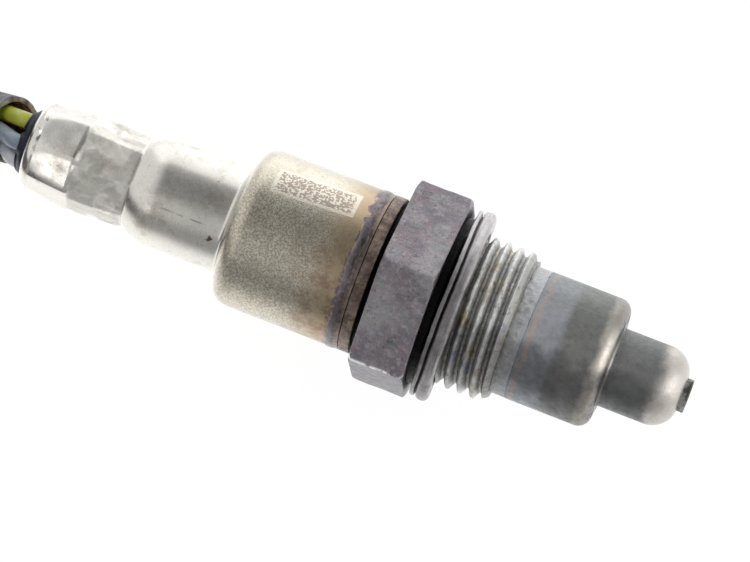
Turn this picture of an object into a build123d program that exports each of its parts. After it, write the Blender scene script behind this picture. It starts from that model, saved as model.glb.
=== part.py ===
from build123d import *
from math import cos, radians, sin, sqrt, tan
import os

# A five-wire exhaust gas oxygen sensor with its lead and plug, in millimetres. The sensor lies along X
# with its tip towards +X. The origin is on its axis, in the front face of the sealing ring, the plane
# that seats on the exhaust boss. +Z is up, and the surface that it lies on is under the sealing ring.

os.makedirs("parts", exist_ok=True)

# ---------------------------------------------------------------- driving dimensions

# small clearances
slip_gap = 0.05          # a ceramic round the sensing element, or in its bore
rubber_gap = 0.02        # rubber in a crimped shell, and a wire in its hole
clip_gap = 0.02          # a contact on its wire or in its channel

# sealing ring, folded from sheet
ring_radius = 11.35
ring_thickness = 2.0
ring_sheet = 0.45
ring_fold = 0.85         # between the middles of the two front layers
ring_flange_step = 0.25  # the rear leaf ends this much short of the folded edge
ring_bore_gap = 0.25     # over the thread

# turned steel body
thread_radius = 9.0
thread_start = 0.0
thread_length = 6.35
thread_end_chamfer = 0.75
thread_lead = 0.7
relief_radius = 8.0
boss_radius = 10.0
boss_length = 0.8
hex_flats = 22.0
hex_length = 6.5
hex_chamfer = 0.35
neck_radius = 8.5
neck_length = 0.7
collar_length = 1.4
nose_radius = 7.6
nose_length = 1.85
nose_spigot_length = 2.2
cavity_radius = 6.0
cavity_seat_x = 4.6
front_bore_radius = 4.4
lip_thickness = 1.2
lip_bore_radius = 4.8

# sensing element and the packing that holds it
element_width = 4.2
element_thickness = 1.3
element_tip_x = 21.0
element_length = 51.0
element_grip = 4.6       # of its rear end in the contact holder
element_tip_chamfer = 0.26
front_ceramic_length = 4.2
talc_length = 6.4
rear_ceramic_length = 6.6
rear_ceramic_neck_length = 3.9
pressure_ring_thickness = 1.0
pressure_ring_bore_radius = 4.3

# rear shell, drawn and crimped
shell_wall = 0.5
shell_radius = 9.35
shoulder_round = 2.3
shoulder_fillet = 0.5
middle_radius = 6.47
middle_length = 8.0
middle_round = 6.6
groove_run = 3.6
crimp_radius = 5.93
crimp_run = 4.9
rear_radius = 5.27
rear_run = 6.9
rim_round = 1.3
jaw_count = 8
jaw_angle = 46.8
jaw_flat = 5.45
jaw_end_depth = 0.2      # of a flat at both ends of the crimp
jaw_line_run = 7.2       # from the groove to the line between the two sets of jaw marks
bead_height = 0.15
bead_width = 1.6
bead_offset = 2.0        # from the shell's front edge to the middle of its weld

# outer and inner shields
shield_wall = 0.4
shield_radius = 7.64
shield_length = 9.8
shield_corner = 1.5
nipple_radius = 4.66
nipple_length = 8.7
nipple_dome = 3.0
root_fillet = 0.35
inlet_count = 10
inlet_radius = 0.6
inlet_circle = 5.6
inner_wall = 0.35
inner_corner = 0.7
inner_radius = 3.8
nozzle_radius = 1.95
nozzle_bore_radius = 1.35
nozzle_proud = 0.7
vent_count = 6
vent_radius = 0.8
vent_offset = 2.4

# ceramic contact holder, its clip and the contacts
holder_radius = 5.2
holder_length = 9.0
holder_flange_length = 1.6
holder_split = 0.1
clip_thickness = 0.35
clip_length = 4.0
clip_opening = 60.0
contact_width = 0.9
contact_sheet = 0.2
channel_side_gap = 0.1
contact_flat = 0.4       # of the strip between its barrel and its spring
barrel_radius = 0.62
barrel_length = 2.6
barrel_height = 1.9      # of a wire's middle above the element's middle
top_row_pitch = 2.0
low_row_pitch = 2.2

# wires, grommet and lead
wire_radius = 0.95
strand_radius = 0.42
wire_circle = 2.45
wire_angle = 70.5
wire_count = 5
wire_free = 0.3          # from the holder to the insulation
guide_length = 2.0
dome_height = 1.2
dome_mid_height = 0.96   # of the dome's outline at dome_mid_share of its radius
dome_mid_share = 0.62
dome_flat_share = 0.2
holder_wire_run = 0.8    # straight runs of a wire, and the bends between them
guide_wire_run = 0.6
dome_wire_run = 0.5
sleeve_wire_run = 0.6
inner_wire_bend = 1.0
outer_wire_bend = 1.2

# lead, from the mouth of its sleeve to the coil
sleeve_radius = 3.8
sleeve_wall = 0.6
sleeve_end_length = 3.6
bundle_circle = 1.9
mouth_gap = 3.2          # of the sleeve's mouth behind, beside and under the rim's middle
mouth_side = 2.0
mouth_drop = 1.6
lead_azimuth = 156.4
lead_pitch = -31.4
dip_share = 0.47         # of that pitch left on the run down to the surface
exit_run = 7.0
surface_run = 14.0
coil_run = 13.0
coil_swing = 12.0        # of the lead as it meets the coil

# coil of the put-away lead, and the plug on it
coil_radius = 45.6       # of the first turn, at the cord's middle
coil_turns = 1.77
plug_width = 20.0
plug_height = 15.0
plug_length = 24.0
plug_nose_width = 16.0
plug_nose_height = 11.0
plug_nose_length = 12.0
plug_round = 2.5
plug_nose_chamfer = 0.6
plug_run = 10.0          # straight, from the climb to the plug
climb_turn = 90.0
climb_steps = 5
boot_length = 5.0
boot_radius = 6.0
boot_end_wall = 0.7
way_size = 2.2
way_depth = 10.0
way_pitch_x = 4.2
way_pitch_y = 4.4
terminal_gap = 0.1
terminal_wall = 0.3
terminal_length = 8.0
face_seal_length = 3.0
face_seal_height = 0.8
latch_width = 8.0
latch_length = 20.0
latch_thickness = 1.5
latch_rise = 1.6
resistor_width = 5.0
resistor_length = 3.2
resistor_thickness = 0.8

# ---------------------------------------------------------------- places worked out from them

floor_z = -ring_radius
boss_front_x = -ring_thickness
hex_front_x = boss_front_x - boss_length
hex_rear_x = hex_front_x - hex_length
collar_front_x = hex_rear_x - neck_length
shell_front_x = collar_front_x - collar_length
spigot_radius = shell_radius - shell_wall
thread_end_x = thread_start + thread_length
nose_end_x = thread_end_x + nose_length
nose_face_x = nose_end_x + nose_spigot_length
nose_spigot_radius = shield_radius - shield_wall

front_ceramic_rear_x = cavity_seat_x - front_ceramic_length
talc_rear_x = front_ceramic_rear_x - talc_length
rear_ceramic_rear_x = talc_rear_x - rear_ceramic_length
lip_front_x = rear_ceramic_rear_x - pressure_ring_thickness
body_rear_x = lip_front_x - lip_thickness
element_rear_x = element_tip_x - element_length

holder_front_x = element_rear_x + element_grip
shoulder_x = holder_front_x - holder_flange_length - shell_wall
middle_rear_x = shoulder_x - shoulder_fillet - middle_length
groove_x = middle_rear_x - groove_run
crimp_x = groove_x - crimp_run
rim_start_x = crimp_x - rear_run
rim_x = rim_start_x - rim_round
rim_opening_radius = rear_radius - rim_round
groove_radius = middle_radius - middle_round + sqrt(middle_round**2 - groove_run**2)

holder_flange_radius = shell_radius - shoulder_round
holder_rear_x = holder_front_x - holder_length
guide_front_x = groove_x + guide_length / 2
grommet_front_x = guide_front_x - guide_length
wire_front_x = holder_rear_x - wire_free
mouth = Vector(rim_x - mouth_gap, mouth_side, -mouth_drop)


def turned(points):
    """A face in the XZ plane under a chain of (x, radius) points, closed along the axis."""
    first = (points[0][0], 0)
    last = (points[-1][0], 0)
    Polyline(first, *points, last, close=True)


# ---------------------------------------------------------------- turned body with its hexagon

with BuildPart() as hex_blank:
    with BuildSketch(Plane.YZ.offset(hex_rear_x)):
        RegularPolygon(hex_flats / 2, 6, major_radius=False)
    extrude(amount=hex_length)
    corner_radius = hex_flats / 2 / cos(radians(30))
    chamfer_drop = hex_chamfer * tan(radians(60))
    with BuildSketch(Plane.XZ):
        with BuildLine():
            turned([
                (hex_rear_x, corner_radius - chamfer_drop),
                (hex_rear_x + hex_chamfer, corner_radius),
                (hex_front_x - hex_chamfer, corner_radius),
                (hex_front_x, corner_radius - chamfer_drop),
            ])
        make_face()
    revolve(axis=Axis.X, mode=Mode.INTERSECT)

with BuildPart() as hex_body:
    with BuildSketch(Plane.XZ):
        with BuildLine():
            turned([
                (body_rear_x, spigot_radius),
                (shell_front_x, spigot_radius),
                (shell_front_x, shell_radius),
                (collar_front_x, shell_radius),
                (collar_front_x, neck_radius),
                (hex_front_x, neck_radius),
                (hex_front_x, boss_radius),
                (boss_front_x, boss_radius),
                (boss_front_x, relief_radius),
                (thread_start - thread_lead, relief_radius),
                (thread_start, thread_radius),
                (thread_end_x - thread_end_chamfer, thread_radius),
                (thread_end_x, thread_radius - thread_end_chamfer),
                (thread_end_x, nose_radius),
                (nose_end_x, nose_radius),
                (nose_end_x, nose_spigot_radius),
                (nose_face_x, nose_spigot_radius),
            ])
        make_face()
    revolve(axis=Axis.X)
    add(hex_blank.part)
    with BuildSketch(Plane.XZ):
        with BuildLine():
            turned([
                (body_rear_x, lip_bore_radius),
                (lip_front_x, lip_bore_radius),
                (lip_front_x, cavity_radius),
                (cavity_seat_x, cavity_radius),
                (cavity_seat_x, front_bore_radius),
                (nose_face_x, front_bore_radius),
            ])
        make_face()
    revolve(axis=Axis.X, mode=Mode.SUBTRACT)
hex_body.part.label = "hex_body"
export_step(hex_body.part, "parts/hex_body.step")

# ---------------------------------------------------------------- sealing ring, one strip folded twice

ring_bore_radius = thread_radius + ring_bore_gap
front_leaf_x = -ring_sheet / 2
middle_leaf_x = front_leaf_x - ring_fold
rear_leaf_x = ring_sheet / 2 - ring_thickness
outer_turn_r = ring_radius - ring_sheet / 2 - ring_fold / 2
inner_turn = (middle_leaf_x - rear_leaf_x) / 2
inner_turn_r = ring_bore_radius + ring_sheet / 2 + inner_turn

with BuildPart() as sealing_ring:
    with BuildSketch(Plane.XZ):
        with BuildLine():
            Line((front_leaf_x, ring_bore_radius), (front_leaf_x, outer_turn_r))
            ThreePointArc(
                (front_leaf_x, outer_turn_r),
                (front_leaf_x - ring_fold / 2, outer_turn_r + ring_fold / 2),
                (middle_leaf_x, outer_turn_r),
            )
            Line((middle_leaf_x, outer_turn_r), (middle_leaf_x, inner_turn_r))
            ThreePointArc(
                (middle_leaf_x, inner_turn_r),
                (middle_leaf_x - inner_turn, inner_turn_r - inner_turn),
                (rear_leaf_x, inner_turn_r),
            )
            Line((rear_leaf_x, inner_turn_r), (rear_leaf_x, ring_radius - ring_flange_step))
        trace(line_width=ring_sheet)
    revolve(axis=Axis.X)
sealing_ring.part.label = "sealing_ring"
export_step(sealing_ring.part, "parts/sealing_ring.step")

# ---------------------------------------------------------------- rear shell


def shell_outline(inset):
    """The drawn shell's outer line for inset 0, or the line that lies inset inside it."""
    round_center_r = shell_radius - shoulder_round
    round_mid = (shoulder_round - inset) * cos(radians(45))
    fillet_mid = (shoulder_fillet + inset) * cos(radians(45))
    fillet_x = shoulder_x - shoulder_fillet
    fillet_r = middle_radius + shoulder_fillet
    big_r = shell_radius - inset
    mid_r = middle_radius - inset
    round_r = middle_round - inset
    groove_r = middle_radius - middle_round + sqrt(round_r**2 - groove_run**2)
    half_r = middle_radius - middle_round + sqrt(round_r**2 - (groove_run / 2) ** 2)
    rim_mid = (rim_round - inset) * cos(radians(45))
    Line((shell_front_x, 0), (shell_front_x, big_r))
    Line((shell_front_x, big_r), (shoulder_x + shoulder_round, big_r))
    ThreePointArc(
        (shoulder_x + shoulder_round, big_r),
        (shoulder_x + shoulder_round - round_mid, round_center_r + round_mid),
        (shoulder_x + inset, round_center_r),
    )
    Line((shoulder_x + inset, round_center_r), (shoulder_x + inset, fillet_r))
    ThreePointArc(
        (shoulder_x + inset, fillet_r),
        (fillet_x + fillet_mid, fillet_r - fillet_mid),
        (fillet_x, mid_r),
    )
    Line((fillet_x, mid_r), (middle_rear_x, mid_r))
    ThreePointArc(
        (middle_rear_x, mid_r),
        (middle_rear_x - groove_run / 2, half_r),
        (groove_x, groove_r),
    )
    ThreePointArc((groove_x, groove_r), (crimp_x, crimp_radius - inset), (rim_start_x, rear_radius - inset))
    ThreePointArc(
        (rim_start_x, rear_radius - inset),
        (rim_start_x - rim_mid, rim_opening_radius + rim_mid),
        (rim_x + inset, rim_opening_radius),
    )
    if inset > 0:
        Line((rim_x + inset, rim_opening_radius), (rim_x, rim_opening_radius))
    Line((rim_x, rim_opening_radius), (rim_x, 0))
    Line((rim_x, 0), (shell_front_x, 0))


def jaw_form(inset):
    """What the crimping jaws leave standing: eight flats from end to end of the crimp."""
    stations = [
        (rim_start_x, rear_radius - jaw_end_depth),
        (groove_x - jaw_line_run, jaw_flat),
        (groove_x, groove_radius - jaw_end_depth),
    ]
    with BuildPart() as form:
        for x, flat in stations:
            with BuildSketch(Plane.YZ.offset(x)):
                RegularPolygon(flat - inset, jaw_count, major_radius=False, rotation=jaw_angle)
        loft(ruled=True)
        with BuildSketch(Plane.YZ.offset(groove_x)):
            Circle(2 * shell_radius)
        extrude(amount=shell_front_x - groove_x)
        with BuildSketch(Plane.YZ.offset(rim_start_x)):
            Circle(2 * shell_radius)
        extrude(amount=rim_x - rim_start_x)
    return form.part


def shell_form(inset):
    """The solid inside the shell's line at this inset, with its jaw marks."""
    with BuildPart() as form:
        with BuildSketch(Plane.XZ):
            with BuildLine():
                shell_outline(inset)
            make_face()
        revolve(axis=Axis.X)
        add(jaw_form(inset), mode=Mode.INTERSECT)
    return form.part


with BuildPart() as rear_shell:
    add(shell_form(0))
    bead_x = shell_front_x - bead_offset
    with BuildSketch(Plane.XZ):
        with BuildLine():
            ThreePointArc(
                (bead_x - bead_width / 2, shell_radius),
                (bead_x, shell_radius + bead_height),
                (bead_x + bead_width / 2, shell_radius),
            )
            Line((bead_x + bead_width / 2, shell_radius), (bead_x + bead_width / 2, spigot_radius))
            Line((bead_x + bead_width / 2, spigot_radius), (bead_x - bead_width / 2, spigot_radius))
            Line((bead_x - bead_width / 2, spigot_radius), (bead_x - bead_width / 2, shell_radius))
        make_face()
    revolve(axis=Axis.X)
    add(shell_form(shell_wall), mode=Mode.SUBTRACT)
rear_shell.part.label = "rear_shell"
export_step(rear_shell.part, "parts/rear_shell.step")

# ---------------------------------------------------------------- shields over the sensing tip

shoulder_face_x = nose_end_x + shield_length
nipple_end_x = shoulder_face_x + nipple_length


def shield_outline(inset):
    """The outer shield's outer line for inset 0, or the line that lies inset inside it."""
    corner_mid = (shield_corner - inset) * cos(radians(45))
    root_mid = (root_fillet + inset) * cos(radians(45))
    dome_mid = (nipple_dome - inset) * cos(radians(45))
    corner_r = shield_radius - shield_corner
    root_r = nipple_radius + root_fillet
    dome_r = nipple_radius - nipple_dome
    Line((nose_end_x, 0), (nose_end_x, shield_radius - inset))
    Line((nose_end_x, shield_radius - inset), (shoulder_face_x - shield_corner, shield_radius - inset))
    ThreePointArc(
        (shoulder_face_x - shield_corner, shield_radius - inset),
        (shoulder_face_x - shield_corner + corner_mid, corner_r + corner_mid),
        (shoulder_face_x - inset, corner_r),
    )
    Line((shoulder_face_x - inset, corner_r), (shoulder_face_x - inset, root_r))
    ThreePointArc(
        (shoulder_face_x - inset, root_r),
        (shoulder_face_x + root_fillet - root_mid, root_r - root_mid),
        (shoulder_face_x + root_fillet, nipple_radius - inset),
    )
    Line(
        (shoulder_face_x + root_fillet, nipple_radius - inset),
        (nipple_end_x - nipple_dome, nipple_radius - inset),
    )
    ThreePointArc(
        (nipple_end_x - nipple_dome, nipple_radius - inset),
        (nipple_end_x - nipple_dome + dome_mid, dome_r + dome_mid),
        (nipple_end_x - inset, dome_r),
    )
    Line((nipple_end_x - inset, dome_r), (nipple_end_x - inset, 0))
    Line((nipple_end_x - inset, 0), (nose_end_x, 0))


with BuildPart() as outer_shield:
    for inset, how in ((0, Mode.ADD), (shield_wall, Mode.SUBTRACT)):
        with BuildSketch(Plane.XZ):
            with BuildLine():
                shield_outline(inset)
            make_face()
        revolve(axis=Axis.X, mode=how)
    with BuildSketch(Plane.YZ.offset(nipple_end_x)):
        Circle(nozzle_radius)
    extrude(amount=-nipple_dome, mode=Mode.SUBTRACT)
    with BuildSketch(Plane.YZ.offset(shoulder_face_x)):
        with PolarLocations(inlet_circle, inlet_count):
            Circle(inlet_radius)
    extrude(amount=-shield_corner, mode=Mode.SUBTRACT)
outer_shield.part.label = "outer_shield"
export_step(outer_shield.part, "parts/outer_shield.step")

inner_flange_x = nose_face_x + inner_wall
inner_end_x = nipple_end_x - nipple_dome
nozzle_end_x = nipple_end_x + nozzle_proud

with BuildPart() as inner_shield:
    with BuildSketch(Plane.XZ):
        with BuildLine():
            turned([
                (nose_face_x, nose_spigot_radius),
                (inner_flange_x, nose_spigot_radius),
                (inner_flange_x, inner_radius),
                (inner_end_x, inner_radius),
                (inner_end_x, nozzle_radius),
                (nozzle_end_x, nozzle_radius),
            ])
        make_face()
    revolve(axis=Axis.X)
    with BuildSketch(Plane.XZ):
        with BuildLine():
            turned([
                (nose_face_x, inner_radius - inner_wall),
                (inner_end_x - inner_wall, inner_radius - inner_wall),
                (inner_end_x - inner_wall, nozzle_bore_radius),
                (nozzle_end_x, nozzle_bore_radius),
            ])
        make_face()
    revolve(axis=Axis.X, mode=Mode.SUBTRACT)
    vent_plane = Plane(origin=(inner_flange_x + vent_offset, 0, 0), x_dir=(1, 0, 0), z_dir=(0, 0, 1))
    for turn in range(vent_count):
        with BuildSketch(vent_plane.rotated((turn * 360 / vent_count, 0, 0))):
            Circle(vent_radius)
        extrude(amount=inner_radius + 1, mode=Mode.SUBTRACT)
    tube_edges = inner_shield.edges().filter_by(GeomType.CIRCLE).filter_by_position(
        Axis.X, inner_end_x - 0.01, inner_end_x + 0.01
    )
    fillet(tube_edges.sort_by(SortBy.RADIUS)[-1], inner_corner)
inner_shield.part.label = "inner_shield"
export_step(inner_shield.part, "parts/inner_shield.step")

# ---------------------------------------------------------------- sensing element and its packing

with BuildPart() as sensor_element:
    with BuildSketch(Plane.YZ.offset(element_rear_x)):
        Rectangle(element_width, element_thickness)
    extrude(amount=element_length)
    tip_edges = sensor_element.faces().sort_by(Axis.X)[-1].edges()
    chamfer(tip_edges, element_tip_chamfer)
sensor_element.part.label = "sensor_element"
export_step(sensor_element.part, "parts/sensor_element.step")


def element_slot(rear_x, front_x, gap):
    """The flat slot that the element passes through."""
    with BuildPart() as slot:
        with BuildSketch(Plane.YZ.offset(rear_x)):
            Rectangle(element_width + 2 * gap, element_thickness + 2 * gap)
        extrude(amount=front_x - rear_x)
    return slot.part


packing_radius = cavity_radius - slip_gap

with BuildPart() as front_ceramic:
    with BuildSketch(Plane.YZ.offset(front_ceramic_rear_x)):
        Circle(packing_radius)
    extrude(amount=front_ceramic_length)
    add(element_slot(front_ceramic_rear_x, cavity_seat_x, slip_gap), mode=Mode.SUBTRACT)
front_ceramic.part.label = "front_ceramic"
export_step(front_ceramic.part, "parts/front_ceramic.step")

with BuildPart() as talc_seal:
    with BuildSketch(Plane.YZ.offset(talc_rear_x)):
        Circle(cavity_radius)
    extrude(amount=talc_length)
    add(element_slot(talc_rear_x, front_ceramic_rear_x, 0), mode=Mode.SUBTRACT)
talc_seal.part.label = "talc_seal"
export_step(talc_seal.part, "parts/talc_seal.step")

with BuildPart() as rear_ceramic:
    with BuildSketch(Plane.YZ.offset(rear_ceramic_rear_x)):
        Circle(packing_radius)
    extrude(amount=rear_ceramic_length)
    with BuildSketch(Plane.YZ.offset(rear_ceramic_rear_x)):
        Circle(pressure_ring_bore_radius - slip_gap)
    extrude(amount=-rear_ceramic_neck_length)
    add(element_slot(rear_ceramic_rear_x - rear_ceramic_neck_length, talc_rear_x, slip_gap), mode=Mode.SUBTRACT)
rear_ceramic.part.label = "rear_ceramic"
export_step(rear_ceramic.part, "parts/rear_ceramic.step")

with BuildPart() as pressure_ring:
    with BuildSketch(Plane.YZ.offset(lip_front_x)):
        Circle(packing_radius)
        Circle(pressure_ring_bore_radius, mode=Mode.SUBTRACT)
    extrude(amount=pressure_ring_thickness)
pressure_ring.part.label = "pressure_ring"
export_step(pressure_ring.part, "parts/pressure_ring.step")

# ---------------------------------------------------------------- contacts in their ceramic holder

# Each wire's colour, the side of the element that it meets (1 is the top) and its place in that row.
wire_names = ["yellow", "grey", "white", "black", "red"]
wire_rows = {
    "grey": (1, -top_row_pitch),
    "yellow": (1, 0),
    "red": (1, top_row_pitch),
    "white": (-1, -low_row_pitch / 2),
    "black": (-1, low_row_pitch / 2),
}
pad_z = element_thickness / 2 + clip_gap
channel_height = barrel_height + barrel_radius + channel_side_gap
channel_width = 2 * (barrel_radius + channel_side_gap)
barrel_rear_x = wire_front_x + clip_gap
barrel_front_x = barrel_rear_x + barrel_length

for name, (side, row_y) in wire_rows.items():
    strip_z = barrel_height - barrel_radius + contact_sheet / 2
    spring_rear_x = barrel_front_x + contact_flat
    touch_x = (spring_rear_x + element_rear_x + contact_flat + barrel_length) / 2
    with BuildPart() as contact:
        with BuildSketch(Plane.YZ.offset(barrel_rear_x)):
            with Locations((row_y, side * barrel_height)):
                Circle(barrel_radius)
                Circle(strand_radius + clip_gap, mode=Mode.SUBTRACT)
        extrude(amount=barrel_length)
        with BuildSketch(Plane.XZ.offset(-row_y)):
            with BuildLine():
                Line(
                    (barrel_rear_x + barrel_length / 2, side * strip_z),
                    (spring_rear_x, side * strip_z),
                )
                ThreePointArc(
                    (spring_rear_x, side * strip_z),
                    (touch_x, side * (pad_z + contact_sheet / 2)),
                    (2 * touch_x - spring_rear_x, side * strip_z),
                )
            trace(line_width=contact_sheet)
        extrude(amount=contact_width / 2, both=True)
    contact.part.label = f"contact_{name}"
    export_step(contact.part, f"parts/contact_{name}.step")

for name, side in (("upper", 1), ("lower", -1)):
    rows = [row_y for row_side, row_y in wire_rows.values() if row_side == side]
    with BuildPart() as holder:
        with BuildSketch(Plane.YZ.offset(holder_rear_x)):
            Circle(holder_radius)
        extrude(amount=holder_length - holder_flange_length)
        with BuildSketch(Plane.YZ.offset(holder_front_x - holder_flange_length)):
            Circle(holder_flange_radius)
        extrude(amount=holder_flange_length)
        add(element_slot(element_rear_x, holder_front_x, slip_gap), mode=Mode.SUBTRACT)
        channel_front_x = holder_front_x - holder_flange_length / 2
        for row_y in rows:
            with BuildSketch(Plane.YZ.offset(holder_rear_x)):
                with Locations((row_y, side * channel_height / 2)):
                    Rectangle(channel_width, channel_height)
            extrude(amount=channel_front_x - holder_rear_x, mode=Mode.SUBTRACT)
        with BuildSketch(Plane.XY.offset(side * holder_split / 2)):
            with Locations((holder_front_x - holder_length / 2, 0)):
                Rectangle(2 * holder_length, 4 * holder_radius)
        extrude(amount=-side * 2 * holder_radius, mode=Mode.SUBTRACT)
    holder.part.label = f"contact_holder_{name}"
    export_step(holder.part, f"parts/contact_holder_{name}.step")

with BuildPart() as holder_clip:
    clip_rear_x = holder_rear_x + (holder_length - holder_flange_length - clip_length) / 2
    with BuildSketch(Plane.YZ.offset(clip_rear_x)):
        Circle(holder_radius + clip_thickness)
        Circle(holder_radius, mode=Mode.SUBTRACT)
        half_opening = 2 * holder_radius * tan(radians(clip_opening / 2))
        with BuildLine():
            Polyline((0, 0), (-2 * holder_radius, half_opening), (-2 * holder_radius, -half_opening), close=True)
        make_face(mode=Mode.SUBTRACT)
    extrude(amount=clip_length)
holder_clip.part.label = "holder_clip"
export_step(holder_clip.part, "parts/holder_clip.step")

# ---------------------------------------------------------------- wire guide, grommet and wires

wire_spots = {
    name: (
        wire_circle * cos(radians(wire_angle + k * 360 / wire_count)),
        wire_circle * sin(radians(wire_angle + k * 360 / wire_count)),
    )
    for k, name in enumerate(wire_names)
}


def wire_holes(rear_x, front_x):
    """The holes that the wires pass through."""
    with BuildPart() as holes:
        with BuildSketch(Plane.YZ.offset(rear_x)):
            with Locations(*wire_spots.values()):
                Circle(wire_radius + rubber_gap)
        extrude(amount=front_x - rear_x)
    return holes.part


def inside_shell(rear_x, front_x):
    """The room in the crimped shell between two places along it."""
    with BuildPart() as room:
        add(shell_form(shell_wall + rubber_gap))
        with BuildSketch(Plane.YZ.offset(rear_x)):
            Circle(shell_radius)
        extrude(amount=front_x - rear_x, mode=Mode.INTERSECT)
    return room.part


with BuildPart() as wire_guide:
    add(inside_shell(grommet_front_x, guide_front_x))
    add(wire_holes(grommet_front_x, guide_front_x), mode=Mode.SUBTRACT)
wire_guide.part.label = "wire_guide"
export_step(wire_guide.part, "parts/wire_guide.step")

dome_x = rim_x - dome_height
dome_radius = rim_opening_radius - rubber_gap

with BuildPart() as grommet:
    add(inside_shell(rim_x, grommet_front_x))
    with BuildSketch(Plane.XZ):
        with BuildLine():
            Line((rim_x + shell_wall, 0), (rim_x + shell_wall, dome_radius))
            Line((rim_x + shell_wall, dome_radius), (rim_x, dome_radius))
            ThreePointArc(
                (rim_x, dome_radius),
                (rim_x - dome_mid_height, dome_radius * dome_mid_share),
                (dome_x, dome_radius * dome_flat_share),
            )
            Line((dome_x, dome_radius * dome_flat_share), (dome_x, 0))
            Line((dome_x, 0), (rim_x + shell_wall, 0))
        make_face()
    revolve(axis=Axis.X)
    add(wire_holes(dome_x, grommet_front_x), mode=Mode.SUBTRACT)
grommet.part.label = "grommet"
export_step(grommet.part, "parts/grommet.step")


def heading(azimuth, pitch=0.0):
    """The unit vector at these angles from +X and from level."""
    level = cos(radians(pitch))
    return Vector(level * cos(radians(azimuth)), level * sin(radians(azimuth)), sin(radians(pitch)))


# The wires turn from the sensor's axis into the sleeve and keep their order round it.
into_sleeve = heading(lead_azimuth, lead_pitch)
turn_axis = Vector(-1, 0, 0).cross(into_sleeve).normalized()
turn_angle = Vector(-1, 0, 0).get_angle(into_sleeve)
for name, (spot_y, spot_z) in wire_spots.items():
    side, row_y = wire_rows[name]
    share = bundle_circle / wire_circle
    offset = Vector(0, spot_y * share, spot_z * share).rotate(Axis((0, 0, 0), turn_axis), turn_angle)
    wire_points = [
        Vector(wire_front_x, row_y, side * barrel_height),
        Vector(wire_front_x - holder_wire_run, row_y, side * barrel_height),
        Vector(guide_front_x + guide_wire_run, spot_y, spot_z),
        Vector(dome_x - dome_wire_run, spot_y, spot_z),
        mouth + offset + into_sleeve * sleeve_wire_run,
        mouth + offset + into_sleeve * sleeve_end_length,
    ]
    wire_bends = 2 * [inner_wire_bend] + 2 * [outer_wire_bend]
    with BuildPart() as wire:
        with BuildLine() as wire_path:
            FilletPolyline(*wire_points, radius=wire_bends)
        with BuildSketch(Plane(origin=wire_points[0], z_dir=(-1, 0, 0))):
            Circle(wire_radius)
        sweep()
        with BuildSketch(Plane(origin=wire_points[0], z_dir=(1, 0, 0))):
            Circle(strand_radius)
        extrude(amount=barrel_length)
    wire.part.label = f"wire_{name}"
    export_step(wire.part, f"parts/wire_{name}.step")

# ---------------------------------------------------------------- braided sleeve, put-away coil and plug

cord_z = floor_z + sleeve_radius
dip = lead_pitch * dip_share
p0 = mouth
p1 = p0 + into_sleeve * exit_run
p2 = p1 + heading(lead_azimuth, dip) * ((cord_z - p1.Z) / sin(radians(dip)))
p3 = p2 + heading(lead_azimuth) * surface_run
p4 = p3 + heading(lead_azimuth + coil_swing) * coil_run
run_points = [p0, p1, p2, p3, p4]


def cord_radii(points):
    """The radius of each corner: as large as its two runs allow."""
    radii = []
    for before, corner, after in zip(points, points[1:], points[2:]):
        shorter = min((corner - before).length, (after - corner).length)
        half_turn = (corner - before).get_angle(after - corner) / 2
        radii.append(0.45 * shorter / tan(radians(half_turn)))
    return radii


def cord_tube(label, points, open_length=0.0):
    """A plain tube of the sleeve's size along straight runs and tangent arcs, less the open end."""
    radii = cord_radii(points)
    print(label, "radii", [round(r, 1) for r in radii])
    first_run = points[1] - points[0]
    start = points[0] + first_run.normalized() * open_length
    with BuildPart() as tube:
        with BuildLine():
            FilletPolyline(start, *points[1:], radius=radii)
        with BuildSketch(Plane(origin=start, z_dir=first_run)):
            Circle(sleeve_radius)
        sweep()
    tube.part.label = label
    return tube.part


with BuildPart() as sleeve_end:
    with BuildSketch(Plane(origin=mouth, z_dir=into_sleeve)):
        Circle(sleeve_radius)
        Circle(sleeve_radius - sleeve_wall, mode=Mode.SUBTRACT)
    extrude(amount=sleeve_end_length)
sleeve_end.part.label = "sleeve_end"
export_step(sleeve_end.part, "parts/sleeve_end.step")

run_tube = cord_tube("harness_run", run_points, sleeve_end_length)
export_step(run_tube, "parts/harness_run.step")

coil_start = lead_azimuth + coil_swing - 90
coil_center = p4 + heading(coil_start + 180) * coil_radius
coil_end = coil_start + 360 * coil_turns
coil_end_radius = coil_radius - 2 * sleeve_radius * coil_turns
coil_inner = coil_end_radius - sleeve_radius
coil_outer = coil_radius + sleeve_radius

with BuildPart() as harness_coil:
    with BuildSketch(Plane(origin=coil_center, x_dir=(1, 0, 0), z_dir=(0, -1, 0))):
        with Locations(((coil_inner + coil_outer) / 2, 0)):
            SlotOverall(coil_outer - coil_inner, 2 * sleeve_radius)
    revolve(axis=Axis(coil_center, (0, 0, 1)))
harness_coil.part.label = "harness_coil"
export_step(harness_coil.part, "parts/harness_coil.step")

# the last quarter turn climbs onto the coil and into the plug
coil_top_z = floor_z + 2 * sleeve_radius
plug_axis_z = coil_top_z + plug_height / 2
climb_radius = coil_end_radius / cos(radians(climb_turn / climb_steps / 2))
climb_points = []
for step in range(climb_steps + 1):
    share = step / climb_steps
    angle = coil_end + climb_turn * share
    rise = (plug_axis_z - cord_z) * (1 - cos(radians(180 * share))) / 2
    climb_points.append(
        Vector(coil_center.X, coil_center.Y, cord_z) + heading(angle) * climb_radius + Vector(0, 0, rise)
    )
plug_heading = heading(coil_end + climb_turn + 90)
plug_rear = climb_points[-1] + plug_heading * plug_run
climb_tube = cord_tube("harness_tail", [*climb_points, plug_rear])
export_step(climb_tube, "parts/harness_tail.step")

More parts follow.
